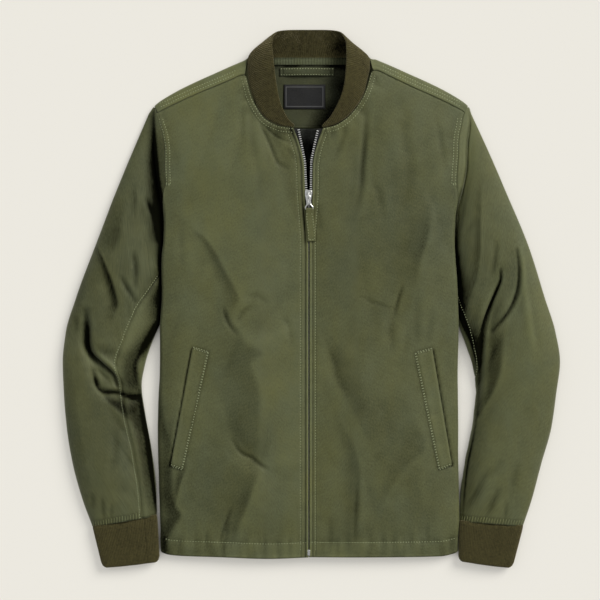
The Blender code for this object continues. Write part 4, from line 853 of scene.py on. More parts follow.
# ---------------------------------------------------------------- finishes
def finish(name, colour, roughness, metallic=0.0, sheen=0.0, sheen_tint=(1.0, 1.0, 1.0), specular=0.5):
    """A Principled material whose plain numbers stand on the shader's own sockets."""
    material = bpy.data.materials.new(name)
    material.use_nodes = True
    tree = material.node_tree
    shader = tree.nodes["Principled BSDF"]
    for key, value in (("Base Color", (*colour, 1.0)), ("Roughness", roughness), ("Metallic", metallic),
                       ("Sheen Weight", sheen), ("Sheen Roughness", 0.45),
                       ("Sheen Tint", (*sheen_tint, 1.0)), ("Specular IOR Level", specular)):
        shader.inputs[key].default_value = value
    return material, tree, shader


def node(tree, kind, inputs=(), **settings):
    """Adds a node, sets its properties, and sets or links its inputs by name or number."""
    made = tree.nodes.new(kind)
    for key, value in settings.items():
        setattr(made, key, value)
    for key, value in dict(inputs).items():
        if isinstance(value, bpy.types.NodeSocket):
            tree.links.new(value, made.inputs[key])
        else:
            made.inputs[key].default_value = value
    return made


def maths(tree, operation, a, b=0.0):
    return node(tree, "ShaderNodeMath", {0: a, 1: b}, operation=operation).outputs[0]


def noise(tree, where, scale, detail=2.0, rough=0.5, stretch=(1.0, 1.0, 1.0)):
    """Noise around 0: scale is in repeats a metre."""
    place = node(tree, "ShaderNodeMapping", {"Vector": where, "Scale": stretch}).outputs[0]
    made = node(tree, "ShaderNodeTexNoise", {"Vector": place, "Scale": scale, "Detail": detail,
                                             "Roughness": rough})
    return maths(tree, "SUBTRACT", made.outputs["Fac"], 0.5)


def shade(tree, shader, colour, parts):
    """Base colour times 1 plus the sum of each part's value times its strength."""
    total = 1.0
    for value, strength in parts:
        total = maths(tree, "ADD", total, maths(tree, "MULTIPLY", value, strength))
    total = maths(tree, "MAXIMUM", total, 0.03)
    scaled = node(tree, "ShaderNodeVectorMath", {0: colour, "Scale": total}, operation="SCALE")
    tree.links.new(scaled.outputs[0], shader.inputs["Base Color"])
    # Sheen and specular dim with the base colour where it is below 1, so painted shade darkens them too.
    dim = maths(tree, "MINIMUM", total, 1.0)
    for key in ("Sheen Weight", "Specular IOR Level"):
        tree.links.new(maths(tree, "MULTIPLY", dim, shader.inputs[key].default_value), shader.inputs[key])


def raise_it(tree, shader, height, distance, strength=1.0):
    made = node(tree, "ShaderNodeBump", {"Height": height, "Distance": distance, "Strength": strength})
    tree.links.new(made.outputs[0], shader.inputs["Normal"])


def weave(tree, pattern, pitch, ratio=1.0):
    """Plain weave height from the flat pattern: two sets of threads, raised by turns."""
    parts = node(tree, "ShaderNodeSeparateXYZ", {0: pattern})
    turn = 2 * np.pi / pitch
    across = maths(tree, "SINE", maths(tree, "MULTIPLY", parts.outputs[0], turn))
    along = maths(tree, "SINE", maths(tree, "MULTIPLY", parts.outputs[1], turn * ratio))
    return maths(tree, "MULTIPLY", across, along)


def sources(tree):
    """Where a point is, its place in the flat pattern, and its tone."""
    return (node(tree, "ShaderNodeTexCoord").outputs["Object"],
            node(tree, "ShaderNodeUVMap", uv_map="cut").outputs[0],
            node(tree, "ShaderNodeAttribute", attribute_name="tone").outputs["Fac"])


def cloth_finish(name, colour, patch, roughness, sheen, wear_and_shade_share):
    """Closely woven cotton with a dry waxed hand: cloudy tone, faint mottling, pale worn ridges, and painted
    shade and highlights from the tone attribute.
    """
    material, tree, shader = finish(name, colour, roughness, sheen=sheen, sheen_tint=(0.9, 0.95, 0.75),
                                    specular=0.35)
    where, pattern, tone = sources(tree)
    large = noise(tree, where, 5.5, 3.0, 0.55, (1.0, 0.55, 1.0))
    small = noise(tree, where, 38.0, 4.0, 0.6)
    fleck = noise(tree, pattern, 900.0, 2.0, 0.6, (1.0, 0.35, 1.0))
    grain = noise(tree, pattern, 420.0, 1.0, 0.5)
    slub = noise(tree, pattern, 260.0, 2.0, 0.6, (0.08, 1.0, 1.0))
    faded = noise(tree, where, 26.0, 3.0, 0.6, (1.0, 0.5, 1.0))
    hue = node(tree, "ShaderNodeVectorMath", {0: faded, 1: (0.16, 0.0, -0.7), 2: (1.0, 1.0, 1.0)},
               operation="MULTIPLY_ADD").outputs[0]
    colour = node(tree, "ShaderNodeVectorMath", {0: hue, 1: colour}, operation="MULTIPLY").outputs[0]
    shade(tree, shader, colour, ((large, patch), (small, 0.3), (fleck, 0.5), (slub, 0.16),
                                 (grain, 0.45), (tone, wear_and_shade_share)))
    gloss = maths(tree, "ADD", roughness, maths(tree, "MULTIPLY", large, 0.35))
    tree.links.new(gloss, shader.inputs["Roughness"])
    height = maths(tree, "ADD", maths(tree, "MULTIPLY", weave(tree, pattern, 0.0011), 0.5), fleck)
    raise_it(tree, shader, height, 0.00016, 0.5)
    return material


def rib_finish(name, colour):
    """Wool-like rib knit: mottled yarn, painted shade between the ribs from the tone, with a soft fuzz."""
    material, tree, shader = finish(name, colour, 0.92, sheen=0.5, sheen_tint=(0.75, 0.65, 0.42),
                                    specular=0.15)
    where, pattern, tone = sources(tree)
    patch = noise(tree, where, 24.0, 3.0, 0.6)
    fleck = noise(tree, where, 340.0, 3.0, 0.7)
    shade(tree, shader, colour, ((patch, 0.5), (fleck, 2.0), (tone, 0.3)))
    loops = weave(tree, pattern, 0.0026, 1.6)
    raise_it(tree, shader, maths(tree, "ADD", maths(tree, "MULTIPLY", loops, 0.4), fleck), 0.0003, 0.7)
    return material


def thread_finish(name, colour):
    material, tree, shader = finish(name, colour, 0.55, sheen=0.3, specular=0.3)
    where = node(tree, "ShaderNodeTexCoord").outputs["Object"]
    fleck = noise(tree, where, 700.0, 2.0, 0.6)
    shade(tree, shader, colour, ((fleck, 0.5),))
    return material


def metal_finish(name, colour, roughness, metallic):
    """Plated zinc, faintly uneven, with fine scratches in its gloss."""
    material, tree, shader = finish(name, colour, roughness, metallic)
    where = node(tree, "ShaderNodeTexCoord").outputs["Object"]
    fleck = noise(tree, where, 900.0, 3.0, 0.6)
    smear = noise(tree, where, 160.0, 2.0, 0.5)
    shade(tree, shader, colour, ((smear, 0.3), (fleck, 0.15)))
    gloss = maths(tree, "ADD", roughness, maths(tree, "MULTIPLY", fleck, 0.25))
    tree.links.new(gloss, shader.inputs["Roughness"])
    raise_it(tree, shader, fleck, 0.00005, 0.5)
    return material


def finish_of(kind):
    """The finish of a kind of cloth or metal, made once from the panel's colours."""
    name = f"jacket_{kind}"
    if name in bpy.data.materials:
        return bpy.data.materials[name]
    colour = getattr(bpy.context.scene.jacket_colours, "metal" if kind in METALS else kind)
    if kind in CLOTHS:
        return cloth_finish(name, colour, *CLOTHS[kind])
    if kind in METALS:
        return metal_finish(name, colour, *METALS[kind])
    return rib_finish(name, colour) if kind == "rib" else thread_finish(name, colour)


def colour_setting(name, description, value):
    return FloatVectorProperty(name=name, description=description, subtype="COLOR", default=value,
                               min=0.0, max=1.0)


def length_setting(name, description, value, least, most):
    return FloatProperty(name=name, description=description, unit="LENGTH", default=value,
                         min=least, max=most)


class JacketColours(bpy.types.PropertyGroup):
    shell: colour_setting("Shell", "Olive cloth of the body and sleeves", (0.090, 0.097, 0.0365))
    # The facing's colour is darker than the shell's: painted shade inside the neck.
    facing: colour_setting("Facing", "Cloth inside the back of the neck", (0.040, 0.044, 0.0145))
    rib: colour_setting("Rib", "Knit of the collar and cuffs", (0.0405, 0.0352, 0.0118))
    lining: colour_setting("Lining", "Lining inside the body", (0.010, 0.012, 0.006))
    neck_tape: colour_setting("Neck tape", "Ribbed tape inside the neck", (0.078, 0.087, 0.038))
    label: colour_setting("Label", "Woven label without any lettering", (0.008, 0.008, 0.008))
    tape: colour_setting("Zip tape", "Woven tape that holds the teeth", (0.012, 0.012, 0.011))
    thread: colour_setting("Thread", "Stitching", (0.28, 0.31, 0.162))
    metal: colour_setting("Metal", "Teeth, slider and pull", (0.78, 0.78, 0.75))
    floor: colour_setting("Floor", "Surface that the jacket lies on", (0.868, 0.843, 0.775))


class JacketSizes(bpy.types.PropertyGroup):
    rib_pitch: length_setting("Rib pitch", "Distance from one rib to the next", 0.0024, 0.0015, 0.006)
    rib_depth: length_setting("Rib depth", "Height of a rib over the grooves beside it",
                              0.0009, 0.0, 0.002)
    stitch: length_setting("Stitch length", "Length of thread that shows in a stitch",
                           0.0017, 0.001, 0.006)
    stitch_pitch: length_setting("Stitch pitch", "Distance from one stitch to the next",
                                 0.0038, 0.0015, 0.008)
    stitch_width: length_setting("Thread width", "Diameter of the sewing thread",
                                 0.0011, 0.0002, 0.0015)
    tooth_pitch: length_setting("Tooth pitch", "Distance between teeth on one tape",
                                0.0031, 0.002, 0.006)


# ---------------------------------------------------------------- fronts
def front_grid(side):
    """A front's middle surface: columns from the zip round the side edge to the side seam."""
    column = side_column(side)
    beside = np.concatenate([np.arange(0.0, 6.0, 0.5), np.arange(6.0, 14.0, 0.8)])
    plate = np.linspace(0.0, 1.0, 82)
    turns, wraps = 14, 12
    fixed = len(beside)
    n = fixed + len(plate)
    m = n + turns
    count = m + wraps

    def section(y):
        stop = smooth(FRONT_END, y, column) - GAP / 2
        start, end = turn_ends(side, y)
        first = np.minimum(start, stop - 4.0)
        second = np.minimum(end, stop - 2.0)
        reach = np.empty(y.shape)
        turn = np.arange(1, turns + 1) / turns
        wrap = np.arange(1, wraps + 1) / wraps
        reach[:, n:m] = first[:, n:m] + (second - first)[:, n:m] * turn
        reach[:, m:] = second[:, m:] + (stop - second)[:, m:] * wrap
        reach[:, :n] = first[:, :n]
        out, height = round_edge(side, y, reach)
        inner = zip_edge(side, y[:, :n])
        flat = np.concatenate([beside, 14.0 + 0.0 * plate])
        share = np.concatenate([0.0 * beside, plate])
        out[:, :n] = inner + flat + (out[:, :n] - inner - 14.0) * share
        height[:, :n] = front_height(side, out[:, :n], y[:, :n])
        return out, height

    top = np.full((1, count), ARMHOLE_ROWS[0])
    for _ in range(14):
        out, _height = section(top)
        top = 0.5 * top + 0.5 * smooth(TOP_EDGE[side], out)
    bottom = smooth(HEM, section(np.full((1, count), HEM_Y))[0], column)
    share = np.linspace(0.0, 1.0, 282)
    edge = 5.0 / 618.0
    share = np.unique(np.concatenate([share, np.linspace(0.0, edge, 6), 1 - np.linspace(0.0, edge, 6)]))
    y = top + (bottom - top) * share[:, None]
    out, height = section(y)
    shown = np.ones(y.shape)
    shown[:, n:] = 1 - ease(np.arange(count - n), 2.0, turns)
    relief, tone = front_relief(side, out, y)
    relief = relief * shown
    grid = placed(side, out, y, height)
    return grid + outwards(grid) * relief[..., None], 0.45 * wear_and_crease_shade(relief) + tone * shown


def front_top(side, out, y):
    """Points on a front's upper face from plan positions, and their directions."""
    z = front_height(side, out, y) + front_relief(side, out, y)[0] + CLOTH / 2
    points = placed(side, out, y, z)
    e = 0.6
    slope_out = (front_height(side, out + e, y) - front_height(side, out - e, y)) / (2 * e)
    slope_y = (front_height(side, out, y + e) - front_height(side, out, y - e)) / (2 * e)
    outward = np.stack([-SIDES[side] * slope_out, -slope_y, np.ones_like(slope_y)], axis=-1)
    return points, unit(outward)


def beside_path(path, distance):
    """A plan polyline moved sideways by a distance, to the right of its direction."""
    along = unit(np.gradient(path, axis=0))
    return path + distance * np.stack([along[:, 1], -along[:, 0]], axis=1)


def front_threads(side):
    """Rows of stitches on a front: zip edge, neck, armhole, hem and round the welt."""
    rows = []  # out, y and lift
    y = np.linspace(-352.0, 232.0, 500)
    rows.append((zip_edge(side, y) + ZIP_ROW[side], y, 0.0))
    path = TOP_PATH[side]
    neck = path[path[:, 0] < NECK_CORNER[side] - 2.0]
    rows += [(*beside_path(neck, distance).T, 0.0) for distance in NECK_ROWS]
    y = np.linspace(160.0, 256.0, 120)
    rows += [(armhole_out(side, y) - distance, y, 0.0) for distance in SEAM_ROWS]
    for y in (159.4, 160.8):
        rows.append((armhole_out(side, y) - np.linspace(-0.5, 9.5, 12), np.full(12, y), 0.0))
    out = np.linspace(zip_edge(side, -340.0) + 2.0, edge_out(side, -336.0) - 4.0, 220)
    rows.append((out, smooth(HEM, out, side_column(side)) + HEM_ROW, 0.0))
    top_zip, top_out, low_out, low_zip = np.array(WELTS[side])
    ring = [top_out, top_zip, low_zip, low_out]
    t = np.linspace(0.0, 1.0, 60)[:, None]
    rows += [(*(a + (b - a) * t).T, 2.2) for a, b in zip(ring[:-1], ring[1:])]
    for out, y, lift in rows:
        points, outward = front_top(side, out, y)
        THREADS.append((points + outward * lift, outward))


class MakeFronts(bpy.types.Operator):
    """Makes both fronts: cloth from the folded zip edge round the side fold to the side seam"""
    bl_idname = "jacket.fronts"
    bl_label = "Fronts"

    def execute(self, context):
        for side in SIDES:
            grid, tone = front_grid(side)
            sheet(f"front_cloth_{side}", f"front_{side}", grid, CLOTH, "shell", "laid",
                  ["back", f"sleeve_under_{side}"], tone=tone, slot="shell")
            front_threads(side)
        return {"FINISHED"}


# ---------------------------------------------------------------- back
def back_section(side, y, at):
    """out and height of the back's columns at y: at numbers the columns from the side seam."""
    column = side_column(side)
    last = len(TUCK) - 1.0
    body = at <= last
    number = at[body]
    fold = [np.interp(number, np.arange(len(TUCK)), TUCK[:, k]) for k in range(3)]
    beside = y[:, body]
    seam_out, seam_up = round_edge(side, beside, smooth(FRONT_END, beside, column) + GAP / 2)
    doubled = 2.0 + 40.0 * ease(-beside, 50.0, 130.0)
    fall = ease(number, 7.0, 10.0)
    undone = ease(beside, -30.0, 12.0)
    turned = fold[0] + fold[1] * doubled
    out = seam_out + turned * (1 - undone) - 1.6 * number * undone - 4.2 * ease(beside, 5.0, 30.0)
    up = (seam_up + fold[2]) * (1 - fall) + BED * fall
    flat = smooth(BACK_ARMHOLE, beside, column) - 0.9 - 2.8 * number
    share = ease(beside, 25.0, 62.0)
    out = out * (1 - share) + flat * share
    up = up * (1 - share) + BED * share
    inner = np.interp(at[~body], last + np.arange(len(BACK_COLUMNS)), BACK_COLUMNS)
    corner = NECK_SIDE[side]
    beyond = corner + (out[:, -1:] - corner) * (inner - NECK_SHARE) / (1 - NECK_SHARE)
    inner_out = np.where(inner > NECK_SHARE, beyond, corner * inner / NECK_SHARE)
    return (np.concatenate([out, inner_out], axis=1),
            np.concatenate([up, np.full(inner_out.shape, BED)], axis=1))


def back_half(side):
    """One half of the back: from the side seam in to the middle, over the shoulder fold and down.

    The first lines start on the forward shoulder seam, at the front's height, and turn over the
    shoulder fold to the ground. Towards the neck they start further on, on the neck seam.
    """
    at = np.concatenate([np.linspace(0.0, 10.0, 31), 10.0 + np.cumsum(np.full(62, 9.0 / 62))])
    at[-1] = 19.0
    first = back_section(side, np.full((1, len(at)), TIP_Y), at)[0]
    first = np.minimum(first, first[0, 0] - 0.4 * at)
    step = np.concatenate([np.linspace(0.0, 2.0, 11)[:-1], np.linspace(2.0, 6.0, 17)])[:, None]
    spread = np.interp(step, np.arange(7.0), (-2.9, -1.4, 0.2, 0.9, 1.1, 0.7, 0.0))
    out = first + spread * ease(first, 196.0, 216.0)
    taken = ease(first - NECK_SIDE[side], *NECK_TURN)
    progress = 6.0 * (1 - taken) + step * taken
    turn = np.clip((progress - 2.0) / 4.0, 0.0, 1.0) * np.pi
    before = np.clip(progress / 2.0, 0.0, 1.0)
    low_y = smooth(TOP_EDGE[side], out) + 1.5 * GAP
    turn_y = smooth(SHOULDER, out) - SHOULDER_FOLD
    y = low_y + (turn_y - low_y) * before + SHOULDER_FOLD * np.sin(turn)
    crest = front_height(side, out, turn_y)
    height = np.where(before < 1, front_height(side, out, y),
                      (crest + BED) / 2 + (crest - BED) / 2 * np.cos(turn))
    y += (NECK_BACK - 0.7 * step) * (1 - taken)
    shown = taken * (1 - ease(progress, 2.4, 3.6)) * ease(210.0 - out, -8.0, 6.0)
    behind = y - low_y
    relief = (0.45 * (1 - ease(behind, 10.5, 12.0)) - sunk_rows(behind, STRIP_ROWS)
              - 0.9 * bump(behind, 1.3) + 0.4 * puckers(out, behind - 6.0, 51, 10.0, 14.0)) * shown

    bottom = back_section(side, np.full((1, len(at)), HEM_Y), at)[0]
    hem = smooth(HEM, bottom, side_column(side))
    top = y[-1:]
    rows = np.array(BACK_ROWS + (hem[0, 0],))
    fine = np.interp(np.linspace(0.0, len(rows) - 1.0, 3 * len(rows)), np.arange(len(rows)), rows)[:, None]
    share = (top[0, 0] - fine) / (top[0, 0] - hem[0, 0])
    body_y = top + (hem - top) * share
    body_out, body_up = back_section(side, body_y, at)
    grid = placed(side, np.concatenate([out, body_out]), np.concatenate([y, body_y]),
                  np.concatenate([height, body_up]))
    laid = np.zeros(body_y.shape)
    return grid, np.concatenate([relief, laid]), np.concatenate([0.55 * shown, laid])


class MakeBack(bpy.types.Operator):
    """Makes the back, whose shoulder strips turn over to the forward shoulder seams"""
    bl_idname = "jacket.back"
    bl_label = "Back"

    def execute(self, context):
        halves = [back_half(side) for side in SIDES]
        grid = np.concatenate([halves[0][0], halves[1][0][:, -2::-1]], axis=1)
        relief, tone = (np.concatenate([halves[0][k], halves[1][k][:, -2::-1]], axis=1) for k in (1, 2))
        outward = outwards(grid, np.s_[:8, 40:60])
        grid = grid + outward * relief[..., None]
        sheet("back_cloth", "back", grid, CLOTH, "shell", "laid", ["floor"],
              tone=wear_and_crease_shade(relief) + tone, slot="shell")
        half = grid.shape[1] // 2
        for columns in (slice(6, half - 40), slice(half + 41, -6)):
            strip, faces = grid[:18, columns], outward[:18, columns]
            keep = strip[0, :, 0]
            good = (np.abs(keep) > 96.0) & (np.abs(keep) < 212.0)
            strip, faces = strip[:, good], faces[:, good]
            for distance in STRIP_ROWS:
                sew_along(strip, faces, "top", distance, CLOTH / 2)
        return {"FINISHED"}


# ---------------------------------------------------------------- sleeves
def sleeve_ring(side, angle, at):
    """Point of a sleeve below its cap: angle 0 is the outer fold, pi the inner one, at counts rows.

    The section is half an ellipse above and the ground below, pressed down where the body is on it.
    """
    table = numbered(SLEEVES[side])
    outer_out, outer_y, inner_out, inner_y, loft = (smooth(table, at, k) for k in range(1, 6))
    share = (1 - np.cos(angle)) / 2
    above = angle <= np.pi
    bow = np.where(above, 24.0 * share * (1 - share) * np.exp(-((at / 0.9) ** 2)), 0.0)
    out = outer_out + (inner_out - outer_out) * share + bow
    y = outer_y + (inner_y - outer_y) * share
    arch = np.abs(np.sin(angle))
    top = SLEEVE_FOLD + (loft - SLEEVE_FOLD) * arch**0.8
    top = top - troughs(side + "_sleeve", out, y) * arch
    beside = np.maximum(out - edge_out(side, y), 0.0)
    room = LAID_UNDER + 24.0 * (1 - np.exp(-beside / 16.0)) + 40.0 * ease(-y, 25.0, 90.0)
    top = -2.0 * np.log(np.exp(-top / 2.0) + np.exp(-room / 2.0))
    bottom = BED + (SLEEVE_FOLD - BED) * (1 - np.minimum(1.6 * arch, 1.0)) ** 2
    return out, y, np.where(above, np.maximum(top, bottom), bottom)


def sleeve_cap(side, angle):
    """Five rings from the armhole seam to the sleeve's first section, for every angle."""
    column = side_column(side)
    share = (1 - np.cos(angle)) / 2
    y = TIP_Y - (TIP_Y - UNDERARM_Y) * share
    edge = edge_out(side, y)
    ring_out, ring_y, ring_up = sleeve_ring(side, angle, np.zeros(angle.shape))
    seam = smooth(FRONT_END, y, column) + GAP / 2
    low = LAID_UNDER + 0.3
    hidden = ease(seam, 1.5, 6.0)
    outs, ups = [None] * 5, [None] * 5
    outs[0], ups[0] = round_edge(side, y, seam)
    outs[1], ups[1] = round_edge(side, y, seam + 1.2 + 0.45 * np.maximum(-5.0 - seam, 0.0))
    outs[2] = (edge + 0.5) * (1 - hidden) + (outs[1] - 0.3) * hidden
    ups[2] = ups[1] - 1.0 - 0.8 * np.maximum(ease(seam, 0.0, 5.0), ease(-seam, 3.0, 8.0))
    outs[4] = (edge + 2.5) * (1 - hidden) + (ring_out - 1.5) * hidden
    ups[4] = np.full(angle.shape, low)
    outs[3], ups[3] = (outs[2] + outs[4]) / 2, (ups[2] + low) / 2
    back_out = smooth(BACK_ARMHOLE, y, column) + GAP
    below = angle > np.pi
    rings = []
    for step in range(5):
        part = step / 5
        out = np.where(below, back_out + (ring_out - back_out) * part, outs[step])
        up = np.where(below, BED + (ring_up - BED) * part, ups[step])
        along = y + (ring_y - y) * np.where(below, part, min(part**2, 0.5))
        tip = 1 - ease(np.minimum(angle, 2 * np.pi - angle), 0.0, 0.12)
        out = out * (1 - tip) + (TIP[0] + (ring_out - TIP[0]) * part) * tip
        along = along * (1 - tip) + (TIP[1] + (ring_y - TIP[1]) * part) * tip
        up = up * (1 - tip) + (TIP[2] + (ring_up - TIP[2]) * part) * tip
        rings.append(np.stack([out, along, up], axis=-1))
    return rings


def seam_angle(side, at):
    """Angle of the front seam on each ring: a share of the width over 1 is on the underside."""
    share = SLEEVES[side][:, 5]
    angle = np.arccos(1 - 2 * np.minimum(share, 1.0)) + np.arccos(1 - 2 * np.maximum(share - 1, 0.0))
    return smooth(numbered(angle[:, None]), at)


def between(rings, per):
    """Rows between rings of points, along Catmull-Rom curves."""
    ends = extended(np.asarray(rings))
    t = (np.arange(per) / per)[:, None, None]
    return np.concatenate([spline(*four, t) for four in zip(ends[:-3], ends[1:-2], ends[2:-1], ends[3:])])


def sleeve_rows(side, count):
    """Places of the rings, evenly spaced along the outer edge."""
    table = numbered(SLEEVES[side])
    at = np.linspace(0.0, len(table) - 1.0, 400)
    far = travelled(np.stack([smooth(table, at, 1), smooth(table, at, 2)], axis=1))
    return np.interp(np.linspace(0.0, far[-1], count), far, at)


def upper_face(angle):
    """1 on top of a sleeve, falling to 0 at its folds and on the underside."""
    return np.sin(np.clip(angle, 0.0, np.pi)) ** 0.5


def sleeve_grid(side, low, high, shares, at):
    """A sleeve piece's middle surface between two angles, each a value for every ring."""
    angle = low[:, None] + (high - low)[:, None] * shares
    out, y, height = sleeve_ring(side, angle, at[:, None] + 0.0 * angle)
    rings = np.stack([out, y, height], axis=-1)
    cap = between(np.concatenate([sleeve_cap(side, angle[0]), rings[:1]]), 5)
    grid = np.concatenate([cap, rings])
    grid[..., 0] *= SIDES[side]
    angle = np.concatenate([np.repeat(angle[:1], len(cap), axis=0), angle])
    return grid, angle, len(cap)


def sleeve_relief(side, grid, angle, near):
    """What a sleeve's cloth adds: seam edges, puckers, creases, swells, bunching over the cuff; and its tone,
    mostly painted shade and highlight.
    """
    right = side == "right"
    seed = 101 if right else 131
    out, y = np.abs(grid[..., 0]), grid[..., 1]
    shown = upper_face(angle)
    down = lengths(grid, 0)
    left = down[-1:] - down
    total, fold, tone = marks(side + "_sleeve", out, y)
    lean = out * 0.8 - y * 0.4
    total += 1.3 * clouds(lean, y * 0.35 + out * 0.3, 40.0, seed) * ease(down, 20.0, 80.0)
    total += 0.6 * crumpled(lean + 0.2 * y, y * 0.4, 52.0, seed + 8) * ease(down, 20.0, 80.0)
    total += 0.25 * clouds(out, y * 0.7, 20.0, seed + 2) + 0.1 * clouds(out, y, 9.0, seed + 3)
    total += 1.1 * clouds(out, y * 0.25, 13.0, seed + 4) * bump(left, 22.0)
    total -= 0.4 * bump(left, 1.6) + 0.6 * bump(left - 5.0, 4.0)
    total = total * shown
    total += 0.25 * (1 - ease(near, 5.0, 7.4)) - sunk_rows(near, (SLEEVE_ROW,))
    total -= 0.5 * bump(near, 0.9)
    total += 0.6 * puckers(down, near - 4.0, seed + 6, 9.0, 12.0)
    total -= 0.6 * bump(down, 1.0)
    total += fold * shown
    beside = np.maximum(out - edge_out(side, y), 0.0)
    # Painted shade where the sleeve bunches over the cuff, and a little on all the sleeve.
    tone -= 0.6 * (1 - ease(left, 8.0, 12.0)) + (0.2 if right else 0.3)
    if right:
        # Painted shade on the right sleeve's upper part and lower forearm, and a painted shadow beside the
        # body.
        tone -= 0.5 * ease(y, -110.0, 40.0) + 0.5 * bump(y + 185.0, 75.0)
        tone -= 0.8 * np.exp(-beside / 3.0) * ease(y, -60.0, 20.0) * (1 - ease(y, 215.0, 250.0))
    else:
        # Painted highlight beside the body near the left shoulder, and painted shade on the inner half of the
        # left upper arm.
        tone += 0.9 * bump(beside - 6.0, 12.0) * ease(y, 110.0, 200.0)
        tone -= 0.45 * bump(y - 25.0, 65.0) * (1 - ease(out, 278.0, 300.0))
    return total * ease(down, 0.0, 2.0), tone * np.minimum(2.0 * shown, 1.0)


def make_top_piece(side, back):
    """A sleeve's piece round the outer fold, from the back seam underneath to the front seam."""
    at = sleeve_rows(side, 264)
    front = seam_angle(side, at)
    around = 0.0 * front
    below = sleeve_grid(side, around + back + PARTING, around + 2 * np.pi,
                        np.linspace(0.0, 1.0, 13)[:-1], at)[0]
    above, angle, cap = sleeve_grid(side, around, front - PARTING, np.linspace(0.0, 1.0, 66), at)
    grid = np.concatenate([below, above], axis=1)
    angle = np.concatenate([np.zeros(below.shape[:2]), angle], axis=1)
    relief, tone = sleeve_relief(side, grid, angle, lengths(grid[:, ::-1], 1)[:, ::-1])
    outward = outwards(grid, np.s_[60:200, 40:60])
    grid = grid + outward * relief[..., None]
    sheet(f"sleeve_top_cloth_{side}", f"sleeve_top_{side}", grid, CLOTH, "shell", "laid",
          ["floor", "back"], tone=0.45 * wear_and_crease_shade(relief, 5) + tone, slot="shell")
    sew_along(grid[cap + 60:], outward[cap + 60:], "last", SLEEVE_ROW, CLOTH / 2)
    points, direction = inset(grid[:, 14:-1], outward[:, 14:-1], "bottom", 5.0)
    pleats(f"sleeve_pleats_{side}", points + direction * CLOTH / 2, direction)


def make_under_piece(side, back):
    """A sleeve's piece round the inner fold, which starts a little beneath the top piece."""
    at = sleeve_rows(side, 150)
    front = seam_angle(side, at)
    grid, angle, _cap = sleeve_grid(side, front - TURNED_UNDER * ease(at, 0.4, 1.5) + PARTING,
                                    0.0 * front + back - PARTING, np.linspace(0.0, 1.0, 48), at)
    shown = upper_face(angle)
    down = lengths(grid, 0)
    left = down[-1:] - down
    x, y = grid[..., 0], grid[..., 1]
    fine, _fold, tone = marks(side + "_sleeve", np.abs(x), y)
    relief = fine + clouds(x, y * 0.6, 30.0, 151) + 1.1 * clouds(x, y * 0.25, 13.0, 152) * bump(left, 22.0)
    relief = relief * shown - 1.5 * (1 - ease(lengths(grid, 1), 3.0, 7.0)) - 0.8 * bump(left, 1.6) * shown
    relief = relief * ease(down, 0.0, 6.0)
    grid = grid + outwards(grid, np.s_[60:120, -8:-2], way=-1.0) * relief[..., None]
    sheet(f"sleeve_under_cloth_{side}", f"sleeve_under_{side}", grid, CLOTH, "shell", "laid", ["floor"],
          tone=0.6 * wear_and_crease_shade(relief, 4) + tone * np.minimum(2.0 * shown, 1.0), slot="shell")


class MakeSleeves(bpy.types.Operator):
    """Makes both sleeves: each a top piece round the outer fold and an under piece round the inner"""
    bl_idname = "jacket.sleeves"
    bl_label = "Sleeves"

    def execute(self, context):
        back = 2 * np.pi - np.arccos(1 - 2 * BACK_SEAM)
        for side in SIDES:
            make_top_piece(side, back)
            make_under_piece(side, back)
        return {"FINISHED"}


# ---------------------------------------------------------------- rib
def ribs(far, total, pitch, depth, seed):
    """Rib knit across a length: rounded ribs with narrow grooves, uneven by a tenth."""
    count = max(round(total / pitch), 1)
    place = far / total * count + 0.12 * clouds(far, 0.0 * far, 9.0, seed)
    return depth * (np.abs(np.sin(np.pi * place)) ** 0.7 - 0.5)


